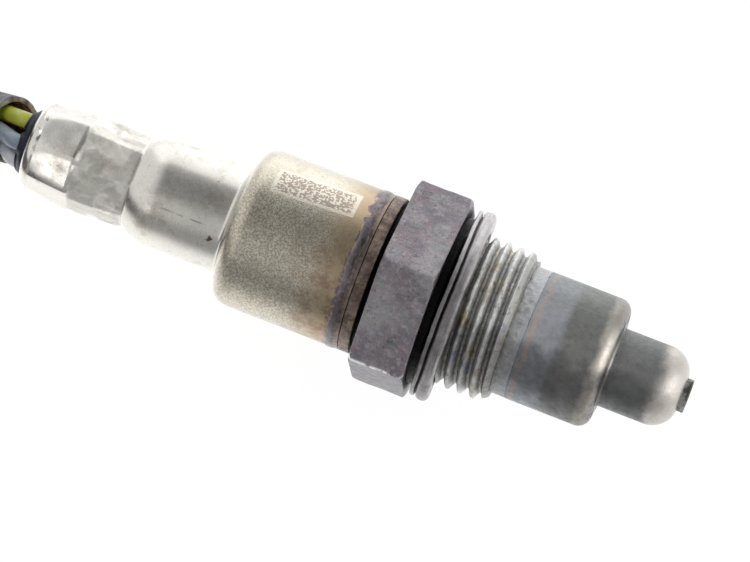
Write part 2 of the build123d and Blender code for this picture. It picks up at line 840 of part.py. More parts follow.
plug_left = Vector(0, 0, 1).cross(plug_heading)
plug_plane = Plane(origin=plug_rear, x_dir=plug_left, z_dir=plug_heading)
plug_front = plug_length + plug_nose_length
way_spots = [
    ((column - 1) * way_pitch_x, (row - 0.5) * way_pitch_y)
    for row in range(2)
    for column in range(3)
]

with BuildPart() as plug_housing:
    with BuildSketch(plug_plane):
        RectangleRounded(plug_width, plug_height, plug_round)
    extrude(amount=plug_length)
    with BuildSketch(plug_plane.offset(plug_length)):
        RectangleRounded(plug_nose_width, plug_nose_height, plug_round)
    extrude(amount=plug_nose_length)
    with BuildSketch(plug_plane.offset(plug_front)):
        with Locations(*way_spots):
            Rectangle(way_size, way_size)
    extrude(amount=-way_depth, mode=Mode.SUBTRACT)
    with BuildSketch(plug_plane.offset(plug_length / 2)):
        with Locations((plug_width / 2, 0)):
            Rectangle(2 * resistor_thickness, resistor_width)
    extrude(amount=resistor_length, mode=Mode.SUBTRACT)
    chamfer(plug_housing.faces().sort_by(Axis(plug_rear, plug_heading))[-1].outer_wire().edges(), plug_nose_chamfer)
plug_housing.part.label = "plug_housing"
export_step(plug_housing.part, "parts/plug_housing.step")

with BuildPart() as plug_boot:
    with BuildSketch(plug_plane):
        Circle(boot_radius)
    with BuildSketch(plug_plane.offset(-boot_length)):
        Circle(sleeve_radius + boot_end_wall)
    loft()
    with BuildSketch(plug_plane):
        Circle(sleeve_radius + rubber_gap)
    extrude(amount=-boot_length, mode=Mode.SUBTRACT)
plug_boot.part.label = "plug_boot"
export_step(plug_boot.part, "parts/plug_boot.step")

with BuildPart() as plug_face_seal:
    with BuildSketch(plug_plane.offset(plug_length)):
        RectangleRounded(
            plug_nose_width + 2 * face_seal_height,
            plug_nose_height + 2 * face_seal_height,
            plug_round + face_seal_height,
        )
        RectangleRounded(plug_nose_width, plug_nose_height, plug_round, mode=Mode.SUBTRACT)
    extrude(amount=face_seal_length)
plug_face_seal.part.label = "plug_face_seal"
export_step(plug_face_seal.part, "parts/plug_face_seal.step")

with BuildPart() as plug_terminals:
    terminal_size = way_size - 2 * terminal_gap
    with BuildSketch(plug_plane.offset(plug_front - way_depth)):
        with Locations(*way_spots):
            Rectangle(terminal_size, terminal_size)
            Rectangle(
                terminal_size - 2 * terminal_wall,
                terminal_size - 2 * terminal_wall,
                mode=Mode.SUBTRACT,
            )
    extrude(amount=terminal_length)
plug_terminals.part.label = "plug_terminals"
export_step(plug_terminals.part, "parts/plug_terminals.step")

with BuildPart() as plug_latch:
    with BuildSketch(Plane(origin=plug_rear, x_dir=plug_heading, z_dir=-plug_left)):
        with BuildLine():
            top = plug_height / 2
            arm = top + latch_rise
            start = (plug_length - latch_length) / 2
            Polyline(
                (start, top),
                (start + latch_thickness, top),
                (start + latch_thickness, arm),
                (start + latch_length, arm),
                (start + latch_length, arm + latch_thickness),
                (start, arm + latch_thickness),
                close=True,
            )
        make_face()
    extrude(amount=latch_width / 2, both=True)
plug_latch.part.label = "plug_latch"
export_step(plug_latch.part, "parts/plug_latch.step")

with BuildPart() as trim_resistor:
    with BuildSketch(plug_plane.offset(plug_length / 2)):
        with Locations((plug_width / 2 - resistor_thickness / 2, 0)):
            Rectangle(resistor_thickness, resistor_width)
    extrude(amount=resistor_length)
trim_resistor.part.label = "trim_resistor"
export_step(trim_resistor.part, "parts/trim_resistor.step")
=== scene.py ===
from math import atan2, cos, degrees, pi, radians, sin, sqrt, tau

import bmesh
import bpy
from mathutils import Matrix, Vector, noise


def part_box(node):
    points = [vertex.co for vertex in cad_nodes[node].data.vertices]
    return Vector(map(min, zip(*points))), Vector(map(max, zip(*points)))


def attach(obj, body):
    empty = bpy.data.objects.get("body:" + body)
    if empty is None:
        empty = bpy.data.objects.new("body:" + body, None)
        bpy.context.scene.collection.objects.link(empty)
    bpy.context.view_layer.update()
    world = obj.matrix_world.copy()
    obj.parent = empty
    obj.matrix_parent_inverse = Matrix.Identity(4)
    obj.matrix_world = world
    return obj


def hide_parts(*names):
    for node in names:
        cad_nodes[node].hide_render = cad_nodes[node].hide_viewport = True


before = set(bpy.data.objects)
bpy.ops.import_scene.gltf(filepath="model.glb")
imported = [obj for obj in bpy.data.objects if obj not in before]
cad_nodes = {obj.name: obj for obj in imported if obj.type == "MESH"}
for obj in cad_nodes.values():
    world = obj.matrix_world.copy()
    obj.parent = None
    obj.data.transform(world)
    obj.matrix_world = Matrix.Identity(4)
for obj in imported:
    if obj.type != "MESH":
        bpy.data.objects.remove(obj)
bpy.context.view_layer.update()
scene = bpy.context.scene
MM = 0.001

# ---------------------------------------------------------------- camera, backdrop and light
# A long lens looks down on the sensor from in front of it. Everything stands on a white table in a
# white tent whose roof has a dark gap, which the polished metal shows as one long band.

lens_mm = 216.0
camera_distance = 0.51
aim = Vector((-10.4, -0.46, -0.38)) * MM
camera_right = Vector((0.9270, 0.3420, 0.1536))
camera_up = Vector((-0.3595, 0.6950, 0.6227))
camera_back = Vector((0.1063, -0.6325, 0.7672))
table_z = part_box("sealing_ring")[0].z

camera = bpy.data.objects.new("camera", bpy.data.cameras.new("camera"))
camera.data.lens = lens_mm
camera.data.sensor_width = 36.0
camera.data.clip_start = 0.01
turn = Matrix((camera_right, camera_up, camera_back)).transposed()
camera.matrix_world = Matrix.Translation(aim + camera_back * camera_distance) @ turn.to_4x4()
scene.collection.objects.link(camera)
scene.camera = camera
scene.view_settings.view_transform = "Standard"


def add_node(tree, kind, inputs=None, **settings):
    """A new node with its settings and inputs, which are sockets to link, three-number colours or values."""
    made = tree.nodes.new("ShaderNode" + kind)
    for name, value in settings.items():
        setattr(made, name, value)
    for key, value in (inputs or {}).items():
        socket = made.inputs[key]
        if isinstance(value, bpy.types.NodeSocket):
            tree.links.new(value, socket)
        else:
            socket.default_value = (*value, 1) if socket.type == "RGBA" else value
    return made


def computed(tree, operation, *values):
    """The result of one Math node."""
    return add_node(tree, "Math", dict(enumerate(values)), operation=operation).outputs[0]


def product(tree, *factors):
    """The factors multiplied together."""
    result = factors[0]
    for factor in factors[1:]:
        result = computed(tree, "MULTIPLY", result, factor)
    return result


def ramped(tree, value, low, high, to_low=0.0, to_high=1.0):
    """value carried smoothly from the range low..high to the range to_low..to_high."""
    spans = {0: value, 1: low, 2: high, 3: to_low, 4: to_high}
    return add_node(tree, "MapRange", spans, interpolation_type="SMOOTHSTEP").outputs[0]


def blended(tree, factor, first, second):
    """first and second mixed by factor, as colours."""
    return add_node(tree, "Mix", {0: factor, 6: first, 7: second}, data_type="RGBA").outputs[2]


def colour_ramp(tree, value, stops):
    """The colour of a value from 0 to 1 on a ramp of (place, colour) stops."""
    made = add_node(tree, "ValToRGB", {0: value})
    for index, (spot, colour) in enumerate(stops):
        if index > 1:
            made.color_ramp.elements.new(spot)
        made.color_ramp.elements[index].position = spot
        made.color_ramp.elements[index].color = (*colour, 1)
    return made.outputs[0]


def mixed_shader(tree, factor, first, second):
    """Two shader nodes mixed by factor."""
    return add_node(tree, "MixShader", {0: factor, 1: first.outputs[0], 2: second.outputs[0]})


def looked_at(tree, path):
    """1 for the rays that show a thing itself, straight or through something clear."""
    return computed(tree, "MAXIMUM", path.outputs["Is Camera Ray"], path.outputs["Is Transmission Ray"])


white = (1, 1, 1)
tent_light = 0.5
tent_glow = 1.7          # of its brightest wall in a reflection
side_walls = (0.62, 0.62, 0.62)
# How bright the tent is, from the back of the table (0) over the top to the front (180), in degrees.
tent_walls = [
    (-20, 1.0), (10, 0.97), (36, 0.6), (58, 0.41), (64, 0.36), (79, 0.205), (93, 0.15), (117, 0.155),
    (130, 0.21), (143, 0.37), (156, 0.4), (168, 0.32), (180, 0.28),
]

tent = bpy.data.worlds.new("tent")
tent.use_nodes = True
tree = tent.node_tree
tree.nodes.clear()
sky = add_node(tree, "TexCoord").outputs["Generated"]
axes = add_node(tree, "SeparateXYZ", {0: sky})
over = computed(tree, "ARCTAN2", axes.outputs["Z"], axes.outputs["Y"])
turned = add_node(tree, "MapRange", {0: over, 1: -pi, 2: pi}).outputs[0]
walls = colour_ramp(tree, turned, [((angle + 180) / 360, (level,) * 3) for angle, level in tent_walls])
right = ramped(tree, axes.outputs["X"], 0.2, 0.55)
left = ramped(tree, axes.outputs["X"], -0.2, -0.45)
reflected = blended(tree, computed(tree, "MAXIMUM", right, left), walls, side_walls)
path = add_node(tree, "LightPath")
plain = add_node(tree, "Background", {0: white, 1: tent_light})
bright = add_node(tree, "Background", {0: reflected, 1: tent_glow})
backdrop = add_node(tree, "Background", {0: white, 1: 1.0})
glossy = mixed_shader(tree, path.outputs["Is Glossy Ray"], plain, bright)
both = mixed_shader(tree, looked_at(tree, path), glossy, backdrop)
add_node(tree, "OutputWorld", {0: both.outputs[0]})
scene.world = tent

table_size = 3.0
table_glow = 1.03        # a little over white, so that its edge doesn't show
table_mesh = bmesh.new()
bmesh.ops.create_grid(table_mesh, x_segments=1, y_segments=1, size=table_size)
bmesh.ops.translate(table_mesh, verts=table_mesh.verts, vec=(0, 0, table_z))
table_data = bpy.data.meshes.new("table")
table_mesh.to_mesh(table_data)
table_mesh.free()
table = bpy.data.objects.new("table", table_data)
scene.collection.objects.link(table)
table_paint = bpy.data.materials.new("table_white")
table_paint.use_nodes = True
tree = table_paint.node_tree
paint = tree.nodes["Principled BSDF"]
paint.inputs["Base Color"].default_value = (0.9, 0.9, 0.9, 1)
paint.inputs["Roughness"].default_value = 0.9
glow = add_node(tree, "Emission", {0: white, 1: 1.0})
path = add_node(tree, "LightPath")
seen = looked_at(tree, path)
mirrored = path.outputs["Is Glossy Ray"]
share = computed(tree, "MAXIMUM", product(tree, seen, 0.95), product(tree, mirrored, 0.85))
# in a reflection the table glows white round the sensor and falls off towards the camera: a painted pool of
# light
spot = add_node(tree, "SeparateXYZ", {0: add_node(tree, "TexCoord").outputs["Object"]})
near = ramped(tree, spot.outputs["Y"], -29 * MM, -9 * MM, 0.38, 1.7)
level = computed(tree, "MAXIMUM", product(tree, near, mirrored), product(tree, seen, table_glow))
tree.links.new(level, glow.inputs["Strength"])
surface = mixed_shader(tree, share, paint, glow)
tree.links.new(surface.outputs[0], tree.nodes["Material Output"].inputs[0])
table_data.materials.append(table_paint)

for name, place, size, power in (
    ("back_softbox", (-0.15, 0.65, 0.42), 0.9, 1.8),
    ("front_softbox", (-0.27, -0.655, 0.1), 0.09, 0.05),
    ("tip_softbox", (0.72, -0.1, 0.3), 0.5, 1.8),
):
    lamp = bpy.data.objects.new(name, bpy.data.lights.new(name, "AREA"))
    lamp.data.shape = "SQUARE"
    lamp.data.size = size
    lamp.data.energy = power
    lamp.location = place
    lamp.rotation_euler = (-Vector(place)).to_track_quat("-Z", "Y").to_euler()
    lamp.visible_camera = False
    scene.collection.objects.link(lamp)

# ---------------------------------------------------------------- lead
# The five wires run in a braided glass-fibre sleeve, grey outside and brown-beige inside. It comes off
# the sensor to the table, and what is left of its half metre lies in a flat coil that ends in the plug.

lead_radius = 3.8 * MM
sleeve_wall = 0.6 * MM
mouth = Vector((-55.9, 2.0, -1.6)) * MM
run_points = [
    Vector(point) * MM
    for point in (
        (-61.375, 4.392, -5.247),
        (-69.386, 7.892, -7.55),
        (-82.215, 13.497, -7.55),
        (-94.950, 16.111, -7.55),
    )
]
into_sleeve = (run_points[0] - mouth).normalized()
mouth_depth = 3.6 * MM
coil_center = Vector((-104.119, -28.558, -7.55)) * MM
coil_radius = 45.6 * MM
coil_start = 78.4
coil_turns = 1.77
turn_points = 16
climb_rise = 11.3 * MM
climb_points = 5
plug_gap = 10 * MM


def around_coil(angle, radius, rise=0.0):
    """A point at this angle round the coil's middle."""
    return coil_center + Vector((radius * cos(radians(angle)), radius * sin(radians(angle)), rise))


coil_points = []
step = 360 / turn_points
corner = 1 / cos(radians(step / 2))
coil_end = coil_start + 360 * coil_turns
for index in range(1, int(coil_turns * turn_points)):
    turned = index * step
    radius = coil_radius - 2 * lead_radius * turned / 360
    coil_points.append(around_coil(coil_start + turned, radius * corner))
coil_end_radius = coil_radius - 2 * lead_radius * coil_turns
climb = []
for index in range(climb_points + 1):
    share = index / climb_points
    rise = climb_rise * (1 - cos(pi * share)) / 2
    climb.append(around_coil(coil_end + 90 * share, coil_end_radius / cos(radians(9)), rise))
plug_heading = Vector((-sin(radians(coil_end + 90)), cos(radians(coil_end + 90)), 0))
plug_rear = climb[-1] + plug_heading * plug_gap
lead_start = mouth + into_sleeve * (mouth_depth - 0.2 * MM)
route = [lead_start, *run_points, *coil_points, *climb, plug_rear]


def spline_object(name, points, radius, sides=6):
    """A round cord along one open NURBS spline with these control points."""
    data = bpy.data.curves.new(name, "CURVE")
    data.dimensions = "3D"
    data.resolution_u = 10
    data.render_resolution_u = 10
    data.bevel_depth = radius
    data.bevel_resolution = sides
    data.use_fill_caps = True
    spline = data.splines.new("NURBS")
    spline.points.add(len(points) - 1)
    for spot, point in zip(spline.points, points):
        spot.co = (*point, 1)
    spline.order_u = 3
    spline.use_endpoint_u = True
    made = bpy.data.objects.new(name, data)
    scene.collection.objects.link(made)
    return made


def new_material(name, metallic=0.0, **values):
    """A node material, its tree, its Principled shader and its Object coordinates."""
    made = bpy.data.materials.new(name)
    made.use_nodes = True
    tree = made.node_tree
    shader = tree.nodes["Principled BSDF"]
    shader.inputs["Metallic"].default_value = metallic
    for key, value in values.items():
        shader.inputs[key.replace("_", " ").title()].default_value = value
    place = add_node(tree, "TexCoord").outputs["Object"]
    return made, tree, shader, place


def new_group(name, inputs, outputs):
    """An empty shader node group with these float or colour sockets."""
    group = bpy.data.node_groups.new(name, "ShaderNodeTree")
    for direction, sockets in (("INPUT", inputs), ("OUTPUT", outputs)):
        for label, kind in sockets.items():
            group.interface.new_socket(label, in_out=direction, socket_type="NodeSocket" + kind)
    return group, group.nodes.new("NodeGroupInput"), group.nodes.new("NodeGroupOutput")


# Braid: two sets of strands that cross, worked out on the tube's own UV map.
braid, into, out = new_group(
    "braid", {"Map": "Vector", "Along": "Float", "Around": "Float"}, {"Height": "Float", "Strand": "Float"}
)
axes = add_node(braid, "SeparateXYZ", {0: into.outputs["Map"]})
along = product(braid, axes.outputs["X"], into.outputs["Along"])
around = product(braid, axes.outputs["Y"], into.outputs["Around"])
waves = []
for operation in ("ADD", "SUBTRACT"):
    slanted = computed(braid, operation, along, around)
    waves.append(computed(braid, "ABSOLUTE", computed(braid, "SINE", product(braid, slanted, pi))))
pick = ramped(braid, computed(braid, "SINE", product(braid, along, tau)), -0.2, 0.2)
height = blended(braid, pick, *waves)
braid.links.new(height, out.inputs["Height"])
braid.links.new(pick, out.inputs["Strand"])


def braided(name, dark, light, along, around, wear):
    """Braided yarn between two colours, with crossings every 1/along of the map's length. The dark colour
    lies where the weave dips and the light one on the strands' crowns: painted shade.
    """
    made, tree, shader, place = new_material(name, roughness=0.75, sheen_weight=0.15)
    uv = add_node(tree, "TexCoord").outputs["UV"]
    yarn = add_node(tree, "Group", {"Map": uv, "Along": along, "Around": around}, node_tree=braid)
    fuzz = add_node(tree, "TexNoise", {"Vector": place, "Scale": 2600.0, "Detail": 3.0})
    stain = add_node(tree, "TexNoise", {"Vector": place, "Scale": 190.0, "Detail": 4.0})
    # painted shade: each strand is coloured darker towards its low edges
    tone = product(tree, yarn.outputs["Height"], ramped(tree, fuzz.outputs[0], 0.2, 0.75, 0.6, 1.0))
    colour = blended(tree, tone, dark, light)
    colour = blended(tree, ramped(tree, stain.outputs[0], 0.5, 0.75, 0.0, 0.6), colour, wear)
    tree.links.new(colour, shader.inputs["Base Color"])
    bump = add_node(tree, "Bump", {"Strength": 0.6, "Distance": 0.25 * MM, "Height": tone})
    tree.links.new(bump.outputs[0], shader.inputs["Normal"])
    return made


lead_length = 0.54
braid_pitch = 2.4 * MM
braid_repeats = round(lead_length / braid_pitch)
grime = (0.13, 0.12, 0.11)
sleeve_grey = braided("sleeve_grey", (0.05, 0.05, 0.06), (0.27, 0.28, 0.31), braid_repeats, 8, grime)
lead = spline_object("lead_sleeve", route, lead_radius)
lead.data.materials.append(sleeve_grey)
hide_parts("harness_run", "harness_coil", "harness_tail")
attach(lead, "root")

# ---------------------------------------------------------------- sleeve mouth
# The open end of the sleeve, cut square beside the grommet. The wires go in through it, so its wall
# and the lighter yarn of its inner side show.


def finished(mesh, name, material, replaced=(), crease=38, materials=()):
    """The mesh as a piece of the object, smooth except where its faces meet at more than crease."""
    data = bpy.data.meshes.new(name)
    mesh.to_mesh(data)
    mesh.free()
    data.shade_smooth()
    data.set_sharp_from_angle(angle=radians(crease))
    for paint in (material, *materials):
        data.materials.append(paint)
    piece = bpy.data.objects.new(name, data)
    scene.collection.objects.link(piece)
    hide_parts(*replaced)
    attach(piece, "root")
    return piece


def spun(outline, steps, closed=False):
    """A mesh turned about X from (x, radius) points in millimetres. A closed outline is a ring's section."""
    mesh = bmesh.new()
    chain = [mesh.verts.new((x * MM, 0, r * MM)) for x, r in outline]
    pairs = list(zip(chain, chain[1:]))
    if closed:
        pairs.append((chain[-1], chain[0]))
    edges = [mesh.edges.new(pair) for pair in pairs]
    bmesh.ops.spin(
        mesh, geom=chain + edges, cent=(0, 0, 0), axis=(1, 0, 0), angle=tau, steps=steps, use_merge=True
    )
    bmesh.ops.remove_doubles(mesh, verts=mesh.verts, dist=0.002 * MM)
    bmesh.ops.recalc_face_normals(mesh, faces=mesh.faces)
    return mesh


def name_map(mesh, along, around):
    """Gives a tube about X its UV map: along runs with X, around with the angle."""
    layer = mesh.loops.layers.uv.new("UVMap")
    for face in mesh.faces:
        middle = face.calc_center_median()
        base = atan2(middle.z, middle.y)
        for corner in face.loops:
            point = corner.vert.co
            swing = (atan2(point.z, point.y) - base + pi) % tau - pi
            corner[layer].uv = (point.x * along, (base + swing) / tau * around)


mouth_length = 4.4
mouth_flare = 0.12
mouth_fray = 0.25
mouth_braid = 1.2 * MM
wall = sleeve_wall / MM
outer = lead_radius / MM + mouth_flare
inner = outer - wall
steps_in = [0.4 * step for step in range(1, 11)]
outline = [(0.0, outer - mouth_flare), (mouth_flare, outer), *((x, outer) for x in steps_in)]
outline += [(mouth_length, outer), (mouth_length, inner), *((x, inner) for x in reversed(steps_in))]
outline += [(0.1, inner), (0.0, inner + 0.15)]
mesh = spun(outline, 72, closed=True)
for vert in mesh.verts:
    if vert.co.x < 0.2 * MM:
        vert.co.x += noise.noise(vert.co * 1400) * mouth_fray * MM
name_map(mesh, 1 / mouth_braid, 1.0)
swing = Vector((1, 0, 0)).rotation_difference(into_sleeve).to_matrix().to_4x4()
bmesh.ops.transform(mesh, matrix=Matrix.Translation(mouth) @ swing, verts=mesh.verts)
sleeve_beige = braided("sleeve_beige", (0.12, 0.1, 0.075), (0.5, 0.45, 0.36), 1.0, 10, (0.1, 0.07, 0.05))
sleeve_outside = braided("sleeve_outside", (0.06, 0.06, 0.07), (0.3, 0.31, 0.35), 0.5, 8, grime)
for face in mesh.faces:
    middle = face.calc_center_median() - mouth
    reach = (middle - into_sleeve * middle.dot(into_sleeve)).length
    face.material_index = 1 if reach < lead_radius - 0.1 * MM else 0
sleeve_mouth = finished(
    mesh, "sleeve_mouth", sleeve_outside, ["sleeve_end"], materials=[sleeve_beige]
)

# ---------------------------------------------------------------- coil tie
# A turn of black cloth tape that keeps the coil's two passes side by side. It is wound on tight, so it
# follows their curve, and its wall is thinner than the yarn of the sleeve.

tie_angle = 232.0
tie_width = 11.0
tie_gap = 0.08
tie_wall = 0.2
tie_path_radius = 38.5
tie_turn = 360 * tie_width / (tau * tie_path_radius)
lead_across = lead_radius / MM
outer_pass = coil_radius / MM - 2 * lead_across * (tie_angle - coil_start) / 360


def half_round(middle, start):
    """Half a turn of tape round one pass of the lead, as (radius in the coil, height) points."""
    reach = lead_across + tie_gap
    angles = [radians(start + turn) for turn in range(0, 181, 10)]
    return [(middle + reach * cos(a), reach * sin(a)) for a in angles]


tie_loop = half_round(outer_pass, -90) + half_round(outer_pass - 2 * lead_across, 90)
mesh = bmesh.new()
chain = [mesh.verts.new(around_coil(tie_angle - tie_turn / 2, r * MM, z * MM)) for r, z in tie_loop]
edges = [mesh.edges.new((chain[index - 1], chain[index])) for index in range(len(chain))]
bmesh.ops.spin(
    mesh, geom=chain + edges, cent=coil_center, axis=(0, 0, 1), angle=radians(tie_turn), steps=16,
)
for vert in mesh.verts:
    away = vert.co - coil_center
    turned = (tie_angle - degrees(atan2(away.y, away.x)) + 180) % 360 - 180
    away.z = 0
    vert.co += away.normalized() * 2 * lead_radius * turned / 360
bmesh.ops.recalc_face_normals(mesh, faces=mesh.faces)
bmesh.ops.solidify(mesh, geom=mesh.faces[:], thickness=-tie_wall * MM)
for vert in mesh.verts:
    vert.co.z = max(vert.co.z, table_z)
bmesh.ops.recalc_face_normals(mesh, faces=mesh.faces)
cloth_tape, tree, shader, place = new_material("cloth_tape")
weft = {"Vector": place, "Scale": 900.0, "Distortion": 1.2, "Detail": 2.0, "Detail Scale": 900.0}
dust = add_node(tree, "TexNoise", {"Vector": place, "Scale": 400.0, "Detail": 5.0, "Roughness": 0.7})
dusty = ramped(tree, dust.outputs[0], 0.5, 0.75)
colour = blended(tree, dusty, (0.012, 0.012, 0.013), (0.05, 0.05, 0.052))
tree.links.new(colour, shader.inputs["Base Color"])
tree.links.new(ramped(tree, dust.outputs[0], 0.3, 0.7, 0.6, 0.8), shader.inputs["Roughness"])
threads = add_node(tree, "TexWave", weft).outputs[1]
weave = add_node(tree, "Bump", {"Strength": 0.5, "Distance": 0.06 * MM, "Height": threads})
tree.links.new(weave.outputs[0], shader.inputs["Normal"])
coil_tie = finished(mesh, "coil_tie", cloth_tape, crease=60)

# ---------------------------------------------------------------- steel body
# Turned from heat-resisting steel bar: the hexagon for the wrench, the relief behind the M18 x 1.5
# thread, the thread itself and the plain nose that the shields are welded to.

thread_pitch = 1.5
thread_crest = 9.0
thread_root = 8.1
thread_rear = -0.7
thread_front = 6.35
thread_lead = 1.1        # over which it rises from the relief
relief_radius = 8.0
hex_across = 22.0
hex_front = -2.8
hex_rear = -9.3
hex_corner = 0.35
hex_blank = 11.0         # its radius before it gets its six sides
chamfer_start = 12.096
chamfer_slope = 1.732
lip_rear = -14.8
lip_bore = 4.8
collar_rear = -11.41
collar_front = -10.0
collar_radius = 9.35
neck_radius = 8.5
boss_front = -2.0
boss_radius = 10.0
nose_radius = 7.6
nose_end = 8.2
spigot_end = 10.4
spigot_radius = 7.24
front_bore = 4.4
cavity_front = 4.6
cavity_rear = -13.6
cavity_radius = 6.0

def eased(share):
    """share held between 0 and 1 and eased at both ends."""
    share = min(max(share, 0), 1)
    return share * share * (3 - 2 * share)

def hexagon_radius(angle, x):
    """The radius of the rounded, chamfered hexagon at this angle and place."""
    off_flat = angle % radians(60) - radians(30)
    off_corner = radians(30) - abs(off_flat)
    radius = hex_across / 2 / cos(off_flat)
    middle = (hex_across / 2 - hex_corner) / cos(radians(30))
    edge = atan2(hex_corner * 0.5, middle + hex_corner * cos(radians(30)))
    if off_corner < edge:
        radius = middle * cos(off_corner) + sqrt(hex_corner**2 - (middle * sin(off_corner)) ** 2)
    depth = max(min(x - hex_rear, hex_front - x), 0)
    worn_edge = 0.1 * max(1 - depth / 0.16, 0) ** 2
    return min(radius, chamfer_start + chamfer_slope * depth) - worn_edge


def thread_radius_at(angle, x):
    """The radius of the right-hand thread, which fades in from the relief and ends in a chamfer."""
    phase = (x / thread_pitch - angle / tau) % 1
    off_crest = abs(phase - 0.5) * 2
    drop = min(max((off_crest - 0.16) / 0.66, 0), 1)
    drop = eased(drop) * 0.35 + drop * 0.65
    full = thread_crest - (thread_crest - thread_root) * drop
    start = min(max((x - thread_rear) / thread_lead, 0), 1)
    full = min(full, relief_radius + start * (thread_crest - relief_radius))
    chamfer = thread_crest - 0.8 + (thread_front - x) * 0.75
    return max(min(full, chamfer), 7.9)

def stepped(start, end, pitch):
    """Places from start to end, about pitch apart."""
    count = max(1, round(abs(end - start) / pitch))
    return [start + (end - start) * index / count for index in range(count + 1)]


outline = [(lip_rear, lip_bore), (lip_rear, 8.8), (-11.42, 8.85)]
outline += [(collar_rear, 9.28), (-11.35, collar_radius)]
outline += [(x, collar_radius) for x in stepped(-11.0, -10.15, 0.3)]
outline += [(collar_front, 9.2), (collar_front, neck_radius), (-9.35, neck_radius)]
outline += [(hex_rear, 8.9), (hex_rear, 10.2), (hex_rear, 11.2)]
outline += [(x, hex_blank) for x in stepped(hex_rear + 0.05, hex_rear + 0.65, 0.06)]
outline += [(x, hex_blank) for x in stepped(hex_rear + 0.9, hex_front - 0.9, 0.3)]
outline += [(x, hex_blank) for x in stepped(hex_front - 0.65, hex_front - 0.05, 0.06)]
outline += [(hex_front, 11.2), (hex_front, 10.5), (hex_front, boss_radius), (boss_front, boss_radius)]
outline += [(boss_front, relief_radius), (thread_rear, relief_radius)]
outline += [(x, 8.5) for x in stepped(thread_rear + 0.1, thread_front, 0.065)]
outline += [(thread_front, 7.9), (thread_front + 0.02, nose_radius)]
outline += [(x, nose_radius) for x in stepped(6.6, 8.1, 0.25)]
outline += [(8.17, 7.58), (nose_end, 7.52), (nose_end, spigot_radius), (spigot_end, spigot_radius)]
outline += [(spigot_end, front_bore), (cavity_front, front_bore), (cavity_front, cavity_radius)]
outline += [(cavity_rear, cavity_radius), (cavity_rear, lip_bore)]
mesh = spun(outline, 360, closed=True)

def turned_to(mesh, radius_at):
    """Moves each vertex to the radius that radius_at gives it in millimetres, or leaves it."""
    for vert in mesh.verts:
        x, y, z = vert.co / MM
        radius = sqrt(y * y + z * z)
        wanted = radius_at(x, y, z, radius)
        if wanted:
            vert.co.y *= wanted / radius
            vert.co.z *= wanted / radius

def body_radius(x, y, z, radius):
    """The hexagon, the thread and the nose with their dents, at a vertex of the turned blank."""
    spot = Vector((x, y, z))
    angle = atan2(z, y)
    if hex_rear - 0.01 < x < hex_front + 0.01 and radius > 10.9:
        return hexagon_radius(angle, x) + noise.noise(spot * 0.9) * 0.05
    if -0.62 < x < thread_front + 0.005 and radius > 8.4:
        cut = thread_radius_at(angle, x) + noise.noise(spot * 1.6) * 0.05
        dent = max(noise.noise(spot * 0.7) - 0.2, 0) * 0.25
        return cut - dent if cut > 8.8 else cut
    if thread_front < x < 8.1 and 7.5 < radius < 7.7:
        return radius + noise.noise(Vector((x * 1.5, y, z)) * 1.4) * 0.07
    return None

turned_to(mesh, body_radius)

# Wear: a noise mask that every finish uses, and the fine lines that turning and handling leave.
mottle, into, out = new_group(
    "mottle",
    {"Place": "Vector", "Scale": "Float", "Low": "Float", "High": "Float", "Roughness": "Float"},
    {"Mask": "Float"},
)
cloud = {"Vector": into.outputs["Place"], "Detail": 6.0}
cloud.update({key: into.outputs[key] for key in ("Scale", "Roughness")})
speckle = add_node(mottle, "TexNoise", cloud).outputs[0]
mask = ramped(mottle, speckle, into.outputs["Low"], into.outputs["High"])
mottle.links.new(mask, out.inputs["Mask"])

lines, into, out = new_group(
    "turned_lines", {"Place": "Vector", "Across": "Float", "Along": "Float"}, {"Height": "Float"}
)
axes = add_node(lines, "SeparateXYZ", {0: into.outputs["Place"]})
stretched = {
    index: product(lines, axes.outputs[index], into.outputs["Across" if index else "Along"])
    for index in range(3)
}
spread = add_node(lines, "CombineXYZ", stretched).outputs[0]
hair = add_node(lines, "TexNoise", {"Vector": spread, "Scale": 1.0, "Detail": 4.0, "Roughness": 0.65})
lines.links.new(hair.outputs[0], out.inputs["Height"])

def masked(tree, place, scale, low, high, roughness=0.6):
    """A noise mask of this scale per metre."""
    values = {"Place": place, "Scale": scale, "Low": low, "High": high, "Roughness": roughness}
    return add_node(tree, "Group", values, node_tree=mottle).outputs["Mask"]

def hairlines(tree, place, across, along):
    """The height of fine lines round the X axis."""
    values = {"Place": place, "Across": across, "Along": along}
    return add_node(tree, "Group", values, node_tree=lines).outputs["Height"]

def polar(tree, place):
    """X and the distance from the X axis in millimetres, and the angle round the axis in degrees."""
    axes = add_node(tree, "SeparateXYZ", {0: place})
    x, y, z = [product(tree, axes.outputs[name], 1 / MM) for name in "XYZ"]
    reach = computed(tree, "SQRT", computed(tree, "ADD", product(tree, y, y), product(tree, z, z)))
    return x, reach, computed(tree, "DEGREES", computed(tree, "ARCTAN2", z, y))

def strayed(tree, place, value, amount, *cloud):
    """value moved to and fro by noise, by half of amount at most, so that its edges are ragged."""
    stray = computed(tree, "SUBTRACT", masked(tree, place, *cloud), 0.5)
    return computed(tree, "MULTIPLY_ADD", stray, amount, value)

def tinted(tree, colour, over, mask, share=1.0):
    """colour under this share of the colour over, where mask is."""
    return blended(tree, product(tree, mask, share), colour, over)

def layered(tree, place, colour, layers):
    """colour under layers of patches, each given as its colour, share, scale, low, high and roughness."""
    for over, share, *cloud in layers:
        colour = tinted(tree, colour, over, masked(tree, place, *cloud), share)
    return colour

def between(tree, value, rise, fall):
    """1 where value lies between two soft edges, each given as the two values that it runs between."""
    return product(tree, ramped(tree, value, *rise), ramped(tree, value, *fall))

def lower_side_shade(tree, place, angle):
    """A ragged mask over the lower side of the tip, towards the table, for painted shade."""
    ragged = strayed(tree, place, computed(tree, "ABSOLUTE", angle), degrees(0.7), 150, 0.2, 0.8)
    return ramped(tree, ragged, 128, 152)

